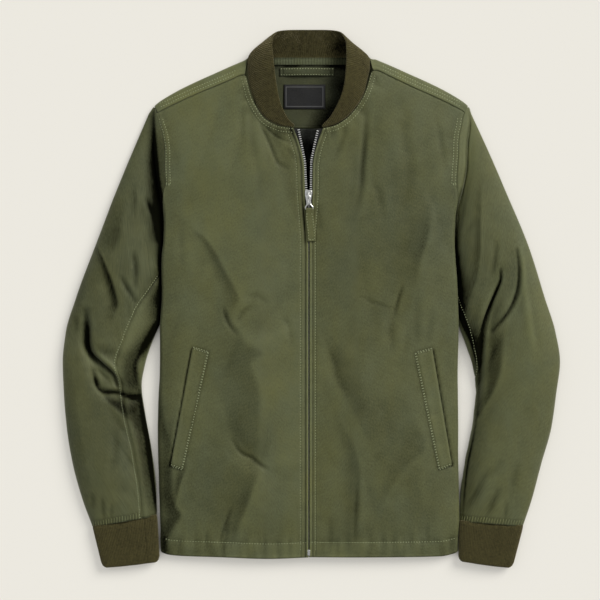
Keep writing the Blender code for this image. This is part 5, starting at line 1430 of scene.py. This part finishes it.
class MakeCuffs(bpy.types.Operator):
    """Makes both cuffs: flattened tubes of rib knit that taper to the open end"""
    bl_idname = "jacket.cuffs"
    bl_label = "Cuffs"

    def execute(self, context):
        sizes = context.scene.jacket_sizes
        pitch, depth = sizes.rib_pitch * 1000, sizes.rib_depth * 1000
        for side in SIDES:
            corners = np.array(CUFFS[side])
            width = np.linalg.norm(corners[0] - corners[1])
            angle = np.linspace(0.0, 2 * np.pi, 1001)
            far = travelled(np.stack([width * (1 - np.cos(angle)) / 2,
                                      CUFF_HEIGHT[0] / 2 * flattened(np.sin(angle), 0.6)], axis=1))
            count = 6 * round(far[-1] / pitch)
            place = np.linspace(0.0, far[-1], count, endpoint=False)
            angle = np.interp(place, far, angle)
            arch = flattened(np.sin(angle), 0.6)
            share = (1 - np.cos(angle)) / 2
            along = np.concatenate([[-0.05, -0.025], np.linspace(0.0, 0.94, 17), [0.965, 0.985, 1.0]])
            into_corner = np.maximum(6.5 - width * np.minimum(share, 1 - share), 0.0)
            along = along[:, None] * (1 - (6.5 - np.sqrt(6.5**2 - into_corner**2)) / 57.0)
            wave = clouds(place, 0 * place, 24.0, 201) * ease(along, 0.2, 1.0)
            outer = corners[0] + (corners[2] - corners[0]) * along[..., None]
            inner = corners[1] + (corners[3] - corners[1]) * along[..., None]
            out = outer[..., 0] + (inner - outer)[..., 0] * share
            y = outer[..., 1] + (inner - outer)[..., 1] * share + 0.7 * wave
            top = CUFF_HEIGHT[0] + (CUFF_HEIGHT[1] - CUFF_HEIGHT[0]) * along
            height = (top + RIB / 2) / 2 + (top - RIB / 2 - 3.0 * ease(-along, -0.01, 0.03)) / 2 * arch
            grid = placed(side, out, y, height)
            outward = outwards(grid, np.s_[4:12, count // 5: count // 3], ring=True)
            high = np.clip(arch, 0.0, 1.0)
            rib = ribs(place, far[-1], pitch, depth, 203) + 0.0 * along
            seam = bump((share - 0.8) * width, 0.9) * (arch > 0) * (side == "right")
            swell = 0.9 * clouds(out, y, 26.0, 205) * high - 0.8 * bump(along, 0.05) * high - 0.7 * seam
            grid = grid + outward * (rib * np.where(arch < 0, 0.3, 1.0) + swell)[..., None]
            grid[..., 2] = np.maximum(grid[..., 2], RIB / 2 - 0.2)
            # Tone: painted shade in the grooves between the ribs and along the right cuff's seam.
            sheet(f"cuff_knit_{side}", f"cuff_{side}", grid, RIB - 0.6, "rib", "laid", ["floor"], ring=True,
                  soft=3, tone=0.6 * rib / (depth / 2) - 1.2 * seam, slot="rib")
        return {"FINISHED"}


def collar_table():
    """Stations of the whole collar: seam, free edge and bow, from the right zip end to the left."""
    right, left = COLLAR["right"].copy(), COLLAR["left"].copy()
    right[:, [0, 3]] *= -1
    middle = (right[-1:] + left[-1:]) / 2
    return numbered(np.concatenate([right, middle, left[::-1]]))


def collar_point(at, across):
    """Point of the band: straight from the seam to the free edge, bowed outwards between them."""
    table = collar_table()
    seam = np.stack([smooth(table, at, k) for k in (1, 2, 3)], axis=-1)[:, None]
    free = np.stack([smooth(table, at, k) for k in (4, 5, 6)], axis=-1)[:, None]
    points = seam + (free - seam) * across[:, None]
    away = unit(seam[..., :2] - np.array([0.0, 290.0]))
    bulge = 4 * across * (1 - across) * smooth(table, at, 7)[:, None]
    from_middle = np.abs(at - 12.0)
    below = np.minimum(across, 0.0) * ease(4.3 - np.abs(from_middle - 4.0), 0.0, 1.3)[:, None]
    drop = 6.0 + 8.0 * ease(6.4 - from_middle, 0.0, 1.0)[:, None]
    bulge = np.where(across < 0, -0.6 * below, bulge)
    points = np.where((across < 0)[:, None], seam, points)
    points[..., :2] += away * bulge[..., None]
    points[..., 2] += np.clip(seam[..., 2] - 1.8, 0.0, drop) * below
    return points


class MakeCollar(bpy.types.Operator):
    """Makes the collar: one band of rib knit that stands round the neck and folds outwards"""
    bl_idname = "jacket.collar"
    bl_label = "Collar"

    def execute(self, context):
        sizes = context.scene.jacket_sizes
        pitch, depth = sizes.rib_pitch * 1000, sizes.rib_depth * 1000
        at = np.linspace(0.0, 24.0, 2001)
        far = travelled(collar_point(at, np.array([0.45]))[:, 0])
        count = 6 * round(far[-1] / pitch)
        place = np.linspace(0.0, far[-1], count)
        at = np.interp(place, far, at)
        across = np.concatenate([[-1.0, -0.5, 0.0, 0.02, 0.05], np.linspace(0.1, 0.9, 11),
                                 [0.94, 0.97, 0.99, 1.0]])
        grid = collar_point(at, across)
        outward = outwards(grid, np.s_[count // 8: count // 4, 4:12])
        rib = ribs(place, far[-1], pitch, depth, 211)[:, None] + 0 * across
        swell = 1.0 * clouds(place[:, None], across * 40.0, 34.0, 213) * ease(across, 0.0, 0.3)
        swell = swell - 0.9 * bump(np.maximum(across, 0.0), 0.05)
        grid = grid + outward * (rib + swell)[..., None]
        grid[..., 2] = np.maximum(grid[..., 2], 1.5)
        x, y = grid[..., 0], grid[..., 1]
        # Tone: painted shade in the grooves between the ribs, random mottling, and a painted shadow on the
        # collar's back part, left of the middle.
        shadow = ease(x, 14.0, 44.0) * ease(y, 336.0, 350.0) * ease(-y, -374.0, -356.0) * (at < 15.0)[:, None]
        tone = 0.6 * rib / (depth / 2) + 0.5 * clouds(place[:, None], across * 40.0, 5.0, 215)
        sheet("collar_knit", "collar", grid, RIB - 0.6, "rib", "folded",
              ["front_right", "front_left", "back"], soft=3, slot="rib", tone=tone - 2.2 * shadow)
        return {"FINISHED"}


# ---------------------------------------------------------------- inside the neck
def laid_grid(box, height, step):
    """A level grid over a box."""
    low_x, high_x, low_y, high_y = box
    x = np.linspace(low_x, high_x, max(int((high_x - low_x) / step), 4))
    y = np.linspace(high_y, low_y, max(int((high_y - low_y) / step), 4))
    return np.stack(np.broadcast_arrays(x, y[:, None], float(height)), axis=-1).copy()


class MakeNeckInside(bpy.types.Operator):
    """Makes what shows inside the neck: facing, lining, ribbed tape, hanger loop and plain label"""
    bl_idname = "jacket.neck_inside"
    bl_label = "Inside of the neck"

    def execute(self, context):
        base = BED + LAYER
        facing = laid_grid(FACING, base, 1.8)
        x, y = facing[..., 0], facing[..., 1]
        relief = 0.35 * clouds(x, y, 22.0, 301) + 0.12 * clouds(x, y, 8.0, 302)
        relief = relief - 0.5 * bump(y - FACING[2] - 4.0, 0.9)
        beside = np.abs(x - NECK_MIDDLE)
        corner = ease(beside, 55.0, 61.0)
        facing[..., 2] += np.clip(relief, -0.35, 0.35) + 1.5 * corner * ease(y, 331.0, 336.0)
        rising = corner * ease(y, 324.0, 336.0)
        y += 4.5 * rising
        x += np.where(x < 0, -7.5, 7.0) * ease(beside, 58.0, 75.0) * rising
        # Painted shadow: on the left of the facing, where the standing collar shades it, and dark lines
        # between the hanger loop and the neck tape.
        shadow = ease(x - 0.14 * (y - 300.0) + 0.4 * np.maximum(290.0 - y, 0.0), 12.0, 46.0)
        tone = wear_and_crease_shade(relief) - 2.4 * shadow - 0.9 * bump(y - 325.0, 4.0) + 0.4 * clouds(x, y, 16.0, 303)
        tone -= (1.5 + 1.2 * clouds(x, 0.0 * y, 6.0, 304)) * bump(y - 326.6, 1.3)
        faced = wall("back_facing_cloth", facing, INNER, finish_of("facing"), tone=tone, slot="shell")
        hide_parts("back_facing")

        lining = laid_grid(LINING, base, 2.4)
        x, y = lining[..., 0], lining[..., 1]
        lining[..., 2] += 0.3 * clouds(x, y, 26.0, 305) + 0.3 * clouds(x, y * 0.3, 14.0, 306)
        # Tone: random mottling, and painted shade further down inside the body, below y 205.
        sheet("back_lining_cloth", "back_lining", lining, INNER, "lining", "laid", ["back"], slot="lining",
              tone=1.1 * clouds(x, y * 0.6, 8.0, 307) - 0.3 - 2.3 * ease(-y, -232.0, -205.0))

        tape = laid_grid(NECK_TAPE, base + LAYER, 0.5)
        x, y = tape[..., 0], tape[..., 1]
        rib = 0.28 * np.abs(np.sin(np.pi * x / 4.0)) ** 0.8
        tape[..., 2] += rib - 0.2 + 0.3 * bump(y - 332.0, 3.0)
        # Painted light and shade: lighter on the ribs' crests and darker between them, painted shadow towards
        # both ends under the collar, and darker along the upper edge under the collar's seam.
        shadow = ease(x, 14.0, 46.0) + 0.5 * ease(-x, 42.0, 56.0)
        light = (1 + SHARE * (rib * 5 - 1.2)) * (1 - 0.62 * shadow) * (1 - 0.3 * ease(y, 335.0, 337.0))
        piece = wall("neck_tape_weave", tape, INNER, finish_of("neck_tape"), slot="neck_tape",
                     tone=(light - 1) / SHARE)
        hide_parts("neck_tape")

        low_x, high_x, low_y, high_y = HANGER_LOOP
        t = np.linspace(0.0, 1.0, 90)
        half = np.linspace(-0.5, 0.5, 9)[:, None]
        x = low_x + (high_x - low_x) * t + 0 * half
        y = (low_y + high_y) / 2 - half * (high_y - low_y - 4.0) + 0.3 * clouds(x, 0 * x, 18.0, 309)
        z = base + LAYER + 2.4 * ease(np.minimum(t, 1 - t), 0.03, 0.3) + 0.35 * bump(half, 0.35)
        fold = bump((np.minimum(t, 1 - t) - 0.055) * 75.0, 1.2)
        loop = np.stack([x, y, z - 0.5 * fold], axis=-1)
        # Tone: painted highlight along both edges, and painted shade in the folds near the ends and all over,
        # for the shade inside the neck.
        sheet("hanger_loop_cloth", "hanger_loop", loop, 0.9, "neck_tape", "hung", ["back_facing_cloth"],
              slot="shell", tone=0.5 * bump(0.5 - np.abs(half), 0.1) - 1.1 * fold - 0.9 + 0.0 * z)
        for line in ("top", "bottom"):
            sew_along(loop, np.zeros(loop.shape) + UP, line, 1.4, 0.45)

        label = laid_grid(LABEL, base + LAYER, 0.7)
        x, y = label[..., 0], label[..., 1]
        edge = np.minimum(np.minimum(x - LABEL[0], LABEL[1] - x), np.minimum(y - LABEL[2], LABEL[3] - y))
        frame_line = bump(edge - 3.4, 0.45)
        label[..., 2] += 0.18 * clouds(x, y, 12.0, 311) + 0.1 * frame_line - 0.25 * bump(edge, 0.8)
        sheet("neck_label_weave", "neck_label", label, INNER, "label", "laid", ["back_facing_cloth"],
              tone=frame_line, slot="label")
        return {"FINISHED"}


# ---------------------------------------------------------------- pockets and zip
class MakeWelts(bpy.types.Operator):
    """Makes the slanted pocket welts, each open along its outer side"""
    bl_idname = "jacket.welts"
    bl_label = "Welts"

    def execute(self, context):
        for side in SIDES:
            top_zip, top_out, low_out, low_zip = np.array(WELTS[side])
            down = np.linspace(0.0, 1.0, 110)[:, None, None]
            over = np.concatenate([np.linspace(0.0, 0.1, 5), np.linspace(0.14, 0.9, 14),
                                   np.linspace(0.92, 1.0, 6)])[None, :, None]
            high = top_zip + (top_out - top_zip) * over
            low = low_zip + (low_out - low_zip) * over
            plan = high + (low - high) * down
            out, y = plan[..., 0], plan[..., 1]
            over, down = over[..., 0], down[..., 0]
            far = over * 22.0
            lift = 0.2 + 1.5 * ease(over, 0.0, 0.08) + 0.6 * ease(over, 0.5, 1.0)
            end = np.minimum(down, 1 - down) * 168.0
            relief = (0.25 * clouds(out, y, 14.0, 321) + 0.35 * puckers(y, far - 3.0, 322, 10.0, 8.0)
                      - 0.4 * bump(far - 2.0, 0.8) - 0.4 * bump(end - 2.0, 0.9) - 0.5 * bump(far - 22.0, 1.2)
                      + 0.2 * bump(far - 19.5, 1.2))
            grid = placed(side, out, y, front_height(side, out, y) + lift + relief)
            # Tone: worn ridges and painted crease shade, the front's painted fold shade, and painted shade
            # beside the stitching.
            tone = wear_and_crease_shade(relief) + 0.8 * marks(side + "_front", out, y)[2]
            tone -= 0.7 * bump(far - 3.7, 0.8) + 0.7 * bump(end - 3.7, 0.8)
            sheet(f"welt_cloth_{side}", f"welt_{side}", grid, CLOTH, "shell", "laid",
                  [f"front_cloth_{side}"], tone=tone, slot="shell")
            for line in ("first", "top", "bottom"):
                sew_along(grid, outwards(grid), line, WELT_ROW, CLOTH / 2)
        return {"FINISHED"}


def template(around, turned, ends, square=False):
    """A closed bar of length, width and height 1: four sections, the outer two smaller.

    around counts a section's points, turned is the first one's share of a step, and ends gives
    the place and the size of the inner and of the outer sections.
    """
    turn = (np.arange(around) + turned) / around * 2 * np.pi
    side = 1 / np.maximum(np.abs(np.cos(turn)), np.abs(np.sin(turn))) * 0.85 if square else 1.0
    (inner, full), (outer, small) = ends
    points = [np.stack([np.full(around, a), 0.5 * s * side * np.cos(turn), 0.5 * s * side * np.sin(turn)],
                       axis=1)
              for a, s in ((-outer, small), (-inner, full), (inner, full), (outer, small))]
    return np.concatenate(points), ring_faces(around, 4)


def stitch_template():
    return template(6, 0.0, ((0.36, 0.95), (0.5, 0.35)))


def ring_faces(around, rings):
    """Faces of a capped tube whose rings each hold the same number of points."""
    index = np.arange(around * rings).reshape(rings, around)
    beyond = np.roll(index, -1, axis=1)
    faces = np.stack([index[:-1], beyond[:-1], beyond[1:], index[1:]], axis=-1).reshape(-1, 4).tolist()
    return faces + [index[0][::-1].tolist(), index[-1].tolist()]


def copies(bar, faces, origins, along, up, size):
    """Copies of a bar: its length runs along, its height up, and size gives each its sides."""
    along = unit(along)
    beside = unit(np.cross(up, along))
    rise = np.cross(along, beside)
    size = np.broadcast_to(size, (len(origins), 3))
    scaled = bar[None] * size[:, None]
    points = (origins[:, None] + scaled[..., :1] * along[:, None] + scaled[..., 1:2] * beside[:, None]
              + scaled[..., 2:] * rise[:, None])
    count = len(bar)
    every = [[corner + count * k for corner in face] for k in range(len(origins)) for face in faces]
    return points.reshape(-1, 3), every


def spaced(points, outward, pitch):
    """Places at an even pitch along a polyline, with the direction along it and outward."""
    far = travelled(points)
    if far[-1] < pitch:
        return None
    place = np.arange(pitch / 2, far[-1] - pitch / 2, pitch)
    found, ahead, behind, up = (
        np.stack([np.interp(spot, far, values[:, k]) for k in range(3)], axis=1)
        for spot, values in ((place, points), (place + 0.6, points), (place - 0.6, points), (place, outward)))
    return found, ahead - behind, up


def teeth_out(side, y):
    return SIDES[side] * ZIP_X + smooth(TEETH, y, side_column(side))


class MakeZip(bpy.types.Operator):
    """Makes the zip's two woven tapes and its metal teeth, open above the slider and closed below"""
    bl_idname = "jacket.zip"
    bl_label = "Zip tapes and teeth"

    def execute(self, context):
        pitch = context.scene.jacket_sizes.tooth_pitch * 1000
        for side in SIDES:
            y = np.linspace(238.0, -358.0, 300)[:, None]
            share = np.linspace(0.0, 1.0, 9)
            out = teeth_out(side, y) + share * TAPE_WIDTH
            z = front_height(side, out, y) - TAPE_DOWN - 0.9
            rib = 0.12 * np.sin(2 * np.pi * y / 1.6) + 0.25 * bump(share * TAPE_WIDTH - 1.0, 1.0)
            # Tone: lighter where the tape is raised, a painted highlight on its ribs and on the band by the
            # teeth.
            sheet(f"zip_tape_weave_{side}", f"zip_tape_{side}", placed(side, out, y, z + rib), 0.8, "tape",
                  "laid", ["back_lining_cloth"], tone=rib + 0 * z, slot="zip_tape")
            y = np.arange(236.0, -352.0, -pitch) - (0.0 if side == "right" else pitch / 2)
            closed = ease(-y, -150.0, -138.0)
            out = teeth_out(side, y) + 0.6 - 0.8 * closed
            z = front_height(side, out + 2.0, y) - 0.9 - 2.3 * closed - 0.7 * ease(-y, -60.0, 20.0)
            slope = (teeth_out(side, y - 1.0) - teeth_out(side, y + 1.0)) / 2
            lay = np.stack([SIDES[side] * np.ones_like(y), slope, 0 * y], axis=1)
            bar = template(8, 0.5, ((0.42, 1.0), (0.5, 0.6)), square=True)
            points, faces = copies(*bar, placed(side, out, y, z), lay, np.zeros((len(y), 3)) + UP, TOOTH)
            teeth = mesh_object(f"zip_teeth_{side}", points, faces, finish_of("teeth"), slot="zip_metal",
                                tone=np.zeros(len(points)))
            teeth.data.set_sharp_from_angle(angle=0.8)
        return {"FINISHED"}


def pillow(outline, low, high, power=0.4):
    """A closed flat body with rounded rims over an outline, from a height low to high.

    With v from 0 to pi, the outline is scaled by sin(v)^power about its middle, and the height is
    the middle one less half the thickness times cos(v)^power, so small powers give flat faces.
    """
    outline = np.asarray(outline, dtype=float)
    middle = outline.mean(axis=0)
    v = np.linspace(0.0, np.pi, 13)[1:-1]
    share = np.sin(v) ** power
    rise = -flattened(np.cos(v), power)
    rings = np.empty((len(v), len(outline), 3))
    rings[..., :2] = middle + (outline - middle) * share[:, None, None]
    rings[..., 2] = (low + high) / 2 + (high - low) / 2 * rise[:, None]
    return rings.reshape(-1, 3), ring_faces(len(outline), len(v))


def rounded(outline, per=6):
    """A closed outline through points, smoothed with Catmull-Rom curves."""
    points = np.asarray(outline, dtype=float)
    four = (np.roll(points, k, axis=0)[:, None] for k in (1, 0, -1, -2))
    return spline(*four, (np.arange(per) / per)[None, :, None]).reshape(-1, points.shape[1])


def wire(path, half_width, half_height, up, closed, around=14):
    """A tube of elliptical section along a path: offsets cos(a) sideways and sin(a) upwards."""
    along = np.roll(path, -1, axis=0) - np.roll(path, 1, axis=0) if closed else np.gradient(path, axis=0)
    along = unit(along)
    up = unit(np.asarray(up) - along * (along @ np.asarray(up))[:, None])
    beside = np.cross(along, up)
    turn = np.linspace(0.0, 2 * np.pi, around, endpoint=False)[:, None]
    rings = (path[:, None] + half_width * np.cos(turn) * beside[:, None]
             + half_height * np.sin(turn) * up[:, None])
    index = np.arange(len(path) * around).reshape(len(path), around)
    ahead = np.roll(index, -1, axis=0) if closed else index[1:]
    index = index if closed else index[:-1]
    faces = np.stack([index, np.roll(index, -1, axis=1), np.roll(ahead, -1, axis=1), ahead], axis=-1)
    faces = faces.reshape(-1, 4).tolist()
    if not closed:
        faces += [list(range(around))[::-1], list(range(len(path) * around - around, len(path) * around))]
    return rings.reshape(-1, 3), faces


def merged(parts):
    """Points and faces of several closed bodies in one list, each with its faces turned outwards."""
    points, faces, start = [], [], 0
    for own, own_faces in parts:
        fans = np.array([(f[0], f[k], f[k + 1]) for f in own_faces for k in range(1, len(f) - 1)])
        a, b, c = (own[fans[:, k]] for k in range(3))
        turned = (np.cross(a, b) * c).sum() < 0
        faces += [[start + i for i in (f[::-1] if turned else f)] for f in own_faces]
        points.append(own)
        start += len(own)
    return np.concatenate(points), faces


def metal(name, stands_for, parts, body="jacket"):
    """One mesh of closed metal bodies that stands for a node."""
    points, faces = merged(parts)
    piece = mesh_object(name, points, faces, finish_of("metal"), body=body, slot="zip_metal")
    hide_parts(stands_for)
    return piece


def make_slider():
    """Two plates with a post between them, and the crown over them."""
    half = np.array([(2.6, 136.6), (3.5, 137.3), (4.1, 140.0), (5.1, 146.8), (4.9, 150.0), (3.3, 151.8)])
    outline = rounded(np.concatenate([half + (SLIDER_X, 0), (half * (-1, 1) + (SLIDER_X, 0))[::-1]]))
    low, high = PLATES
    post = rounded([(SLIDER_X + a, b) for a, b in ((-1.1, 146.8), (1.1, 146.8), (1.1, 150.6), (-1.1, 150.6))])
    turn = np.linspace(0.0, np.pi, 31)
    base = high[1] - 0.6
    crown = np.stack([np.full(31, SLIDER_X), 143.8 - 4.45 * flattened(np.cos(turn), 0.7),
                      base + (33.05 - base) * np.sin(turn) ** 0.7], axis=1)
    slider = metal("slider_metal", "slider", [
        pillow(outline, low[0], low[1]), pillow(outline, high[0], high[1] + 0.2, 0.55),
        pillow(post, low[1] - 0.5, high[0] + 0.5, 0.2), wire(crown, 1.0, 0.55, (0.0, 0.3, 1.0), False)])
    slider.data.set_sharp_from_angle(angle=0.9)


def pull_up(y):
    """Height of the pull's wire, which falls a little from the crown to the tab."""
    return 31.0 - 0.035 * (143.4 - y)


def make_pull():
    half = np.array(PULL_LOOP)
    middle = SLIDER_X + 0.9 * ease(-half[:, 1], -138.0, -126.0)
    loop = np.concatenate([np.stack([middle - half[:, 0], half[:, 1]], axis=1),
                           np.stack([middle + half[:, 0], half[:, 1]], axis=1)[::-1]])
    path = rounded(np.column_stack([loop, pull_up(loop[:, 1])]), 5)
    half_width = (0.95 + 0.85 * ease(path[:, 1], 129.8, 133.4))[:, None, None]
    metal("pull_wire", "pull", [wire(path, half_width, 0.74, UP, True)], body="pull")


def tab_middle(y):
    return TAB_X + 1.0 - 3.2 * ease(y, 84.0, 125.0)


def tab_top(y, bar_up):
    """Height of the tab's upper layer, which runs up over the wire's bar."""
    low, over = TAB_OVER
    return np.interp(y, TAB_Y, (*low, bar_up + over[0], bar_up + over[1]))


def make_tab():
    """The cloth tab, folded round the wire's bar, and the stitches along three of its sides."""
    bar_y = PULL_LOOP[-1][1]
    bar_up = pull_up(bar_y)
    bend = np.linspace(-0.5, 0.5, 25) * np.pi
    lies = np.concatenate([np.linspace(80.4, 81.6, 5)[:-1], np.linspace(81.6, 122.0, 60)])
    back = lies[::-1]
    under = np.interp(lies, (80.4, 117.5, 124.6), (28.5, 28.4, bar_up - 1.75))
    y = np.concatenate([lies, bar_y + 1.75 * np.cos(bend), back])
    z = np.concatenate([under, bar_up + 1.75 * np.sin(bend), tab_top(back, bar_up)])[:, None]
    width = (11.6 - 2.0 * ease(y, 112.0, 123.0))[:, None]
    share = np.concatenate([[-0.5, -0.485, -0.46], np.linspace(-0.42, 0.42, 13), [0.46, 0.485, 0.5]])
    x = tab_middle(y)[:, None] + share * width + 0.3 * clouds(y, 0 * y, 12.0, 341)[:, None]
    row = bump((0.5 - np.abs(share)) * width - 1.6, 0.5)
    z = z - 0.22 * row * np.sign(z - bar_up) + 0.1 * clouds(x, y[:, None], 4.0, 342)
    # Tone: painted shade in the dents of the stitched rows and towards the fold over the wire.
    sheet("pull_tab_cloth", "pull_tab", np.stack(np.broadcast_arrays(x, y[:, None], z), axis=-1), 0.9,
          "shell", "folded", ["pull_wire"], body="pull", slot="shell",
          tone=0.1 - 0.6 * row - 0.3 * ease(y, 112.0, 122.0)[:, None])
    y = np.linspace(82.6, 121.0, 40)
    up = np.zeros((40, 3)) + UP
    beside = 4.2 - 1.0 * ease(y, 112.0, 123.0)
    rows = [(np.stack([tab_middle(y) + a * beside, y, tab_top(y, bar_up) + 0.4], axis=1), up)
            for a in (-1.0, 1.0)]
    rows.append((np.stack([np.linspace(TAB_X - 3.0, TAB_X + 5.0, 40), np.full(40, 82.6),
                           np.full(40, 30.15)], axis=1), up))
    sewn("tab_stitching", rows, body="pull")


def make_stop():
    half, low_y, high_y = 1.8, -358.4, -350.6
    up = float(front_height("right", np.array(-ZIP_X), np.array(-350.0))) + CLOTH
    corners = [(ZIP_X - half, low_y), (ZIP_X + half, low_y), (ZIP_X + half, high_y), (ZIP_X - half, high_y)]
    ring = [np.array(p) + (np.array(q) - p) * k for p, q in zip(corners, corners[1:] + corners[:1])
            for k in (0.12, 0.5, 0.88)]
    metal("bottom_stop_metal", "bottom_stop", [pillow(rounded(ring, 3), up, up + 1.3, 0.45)])


class MakeMetal(bpy.types.Operator):
    """Makes the cast slider with its crown, the wire pull with its cloth tab, and the bottom stop"""
    bl_idname = "jacket.metal"
    bl_label = "Slider and pull"

    def execute(self, context):
        make_slider()
        make_pull()
        make_tab()
        make_stop()
        return {"FINISHED"}


def sewn(name, rows, body="jacket"):
    """One mesh of stitches, a capsule of thread at every pitch along each row."""
    sizes = bpy.context.scene.jacket_sizes
    pitch, length, width = (1000 * v for v in (sizes.stitch_pitch, sizes.stitch, sizes.stitch_width))
    found = [spaced(points, outward, pitch) for points, outward in rows]
    origins, along, up = (np.concatenate([row[k] for row in found if row]) for k in range(3))
    along = along + 0.06 * np.stack([clouds(origins[:, 1], origins[:, 0], 3.0, 401),
                                     clouds(origins[:, 0], origins[:, 1], 3.0, 402),
                                     0 * origins[:, 0]], axis=1) * np.linalg.norm(along, axis=1)[:, None]
    size = np.array([length, width, width * 0.8])
    points, faces = copies(*stitch_template(), origins + 0.08 * up, along, up, size)
    return mesh_object(name, points, faces, finish_of("thread"), body=body, slot="shell")


def pleats(name, points, outward):
    """Small ridges of gathered cloth across a line."""
    origins, along, up = spaced(points, outward, PLEAT_PITCH)
    across = np.cross(up, along) + 0.18 * along
    size = PLEAT * (1 + 0.2 * clouds(origins[:, :1], origins[:, 1:2], 4.0, 411))
    points, faces = copies(*stitch_template(), origins - 0.3 * up, across, up, size)
    # The pleats are lighter than the cloth round them: a painted highlight on their crests.
    mesh_object(name, points, faces, finish_of("shell"), slot="shell", tone=np.full(len(points), 0.75),
                cut=points[:, :2])


class MakeStitching(bpy.types.Operator):
    """Lays a stitch of thread at every pitch along each row that the cloth pieces gave"""
    bl_idname = "jacket.stitching"
    bl_label = "Stitching"

    def execute(self, context):
        sewn("stitching", THREADS)
        return {"FINISHED"}


class MakeStage(bpy.types.Operator):
    """Lays the plain floor, hangs the soft light and points the camera straight down"""
    bl_idname = "jacket.stage"
    bl_label = "Stage"

    def execute(self, context):
        scene = context.scene
        half, up = FLOOR
        mesh = bpy.data.meshes.new("floor")
        mesh.from_pydata([(-half, -half, up), (half, -half, up), (half, half, up), (-half, half, up)],
                         [], [(0, 1, 2, 3)])
        floor = bpy.data.objects.new("floor", mesh)
        scene.collection.objects.link(floor)
        colour = np.array(scene.jacket_colours.floor)
        material, tree, shader = finish("floor", tuple(0.5 * colour), 0.9, specular=0.0)
        # The floor glows evenly, less where ambient occlusion finds it hemmed in: painted shade in the narrow
        # gaps beside the jacket.
        occlusion_shade = node(tree, "ShaderNodeAmbientOcclusion", {"Distance": 0.035}, samples=8).outputs["AO"]
        shader.inputs["Emission Color"].default_value = (*colour, 1.0)
        glow_with_painted_shade = node(tree, "ShaderNodeMapRange", {"Value": occlusion_shade, "From Min": 0.1, "From Max": 0.6,
                                                 "To Min": 0.0, "To Max": 0.485})
        tree.links.new(glow_with_painted_shade.outputs["Result"], shader.inputs["Emission Strength"])
        mesh.materials.append(material)
        scene.view_settings.view_transform = "Standard"
        world = bpy.data.worlds.new("studio")
        world.use_nodes = True
        background = world.node_tree.nodes["Background"]
        background.inputs["Color"].default_value, background.inputs["Strength"].default_value = SKY
        scene.world = world
        for name, turn, strength, size, colour in LAMPS:
            lamp = bpy.data.lights.new(name, "SUN")
            lamp.energy, lamp.angle, lamp.color = strength, size, colour
            light = bpy.data.objects.new(name, lamp)
            light.rotation_euler = turn
            scene.collection.objects.link(light)
        lens = bpy.data.cameras.new("camera")
        lens.sensor_width = 36.0
        lens.clip_end = 50.0
        camera = bpy.data.objects.new("camera", lens)
        camera.location, lens.lens = CAMERA
        scene.collection.objects.link(camera)
        scene.camera = camera
        return {"FINISHED"}


MAKERS = (MakeFronts, MakeBack, MakeSleeves, MakeCuffs, MakeCollar, MakeNeckInside, MakeWelts, MakeZip,
          MakeMetal, MakeStitching, MakeStage)


class JacketPanel(bpy.types.Panel):
    """Lists the makers of the jacket's pieces with its sizes and colours"""
    bl_idname = "JACKET_PT_makers"
    bl_label = "Bomber jacket"
    bl_space_type = "VIEW_3D"
    bl_region_type = "UI"
    bl_category = "Jacket"

    def draw(self, context):
        for group in (context.scene.jacket_sizes, context.scene.jacket_colours):
            for key in group.__annotations__:
                self.layout.prop(group, key)
        for maker in MAKERS:
            self.layout.operator(maker.bl_idname)


CLASSES = (JacketColours, JacketSizes, *MAKERS, JacketPanel)


def register():
    for kind in CLASSES:
        bpy.utils.register_class(kind)
    bpy.types.Scene.jacket_colours = PointerProperty(type=JacketColours)
    bpy.types.Scene.jacket_sizes = PointerProperty(type=JacketSizes)


def unregister():
    del bpy.types.Scene.jacket_colours, bpy.types.Scene.jacket_sizes
    for kind in reversed(CLASSES):
        bpy.utils.unregister_class(kind)


def main():
    register()
    for maker in MAKERS:
        group, name = maker.bl_idname.split(".")
        getattr(getattr(bpy.ops, group), name)()


if __name__ == "__main__":
    main()
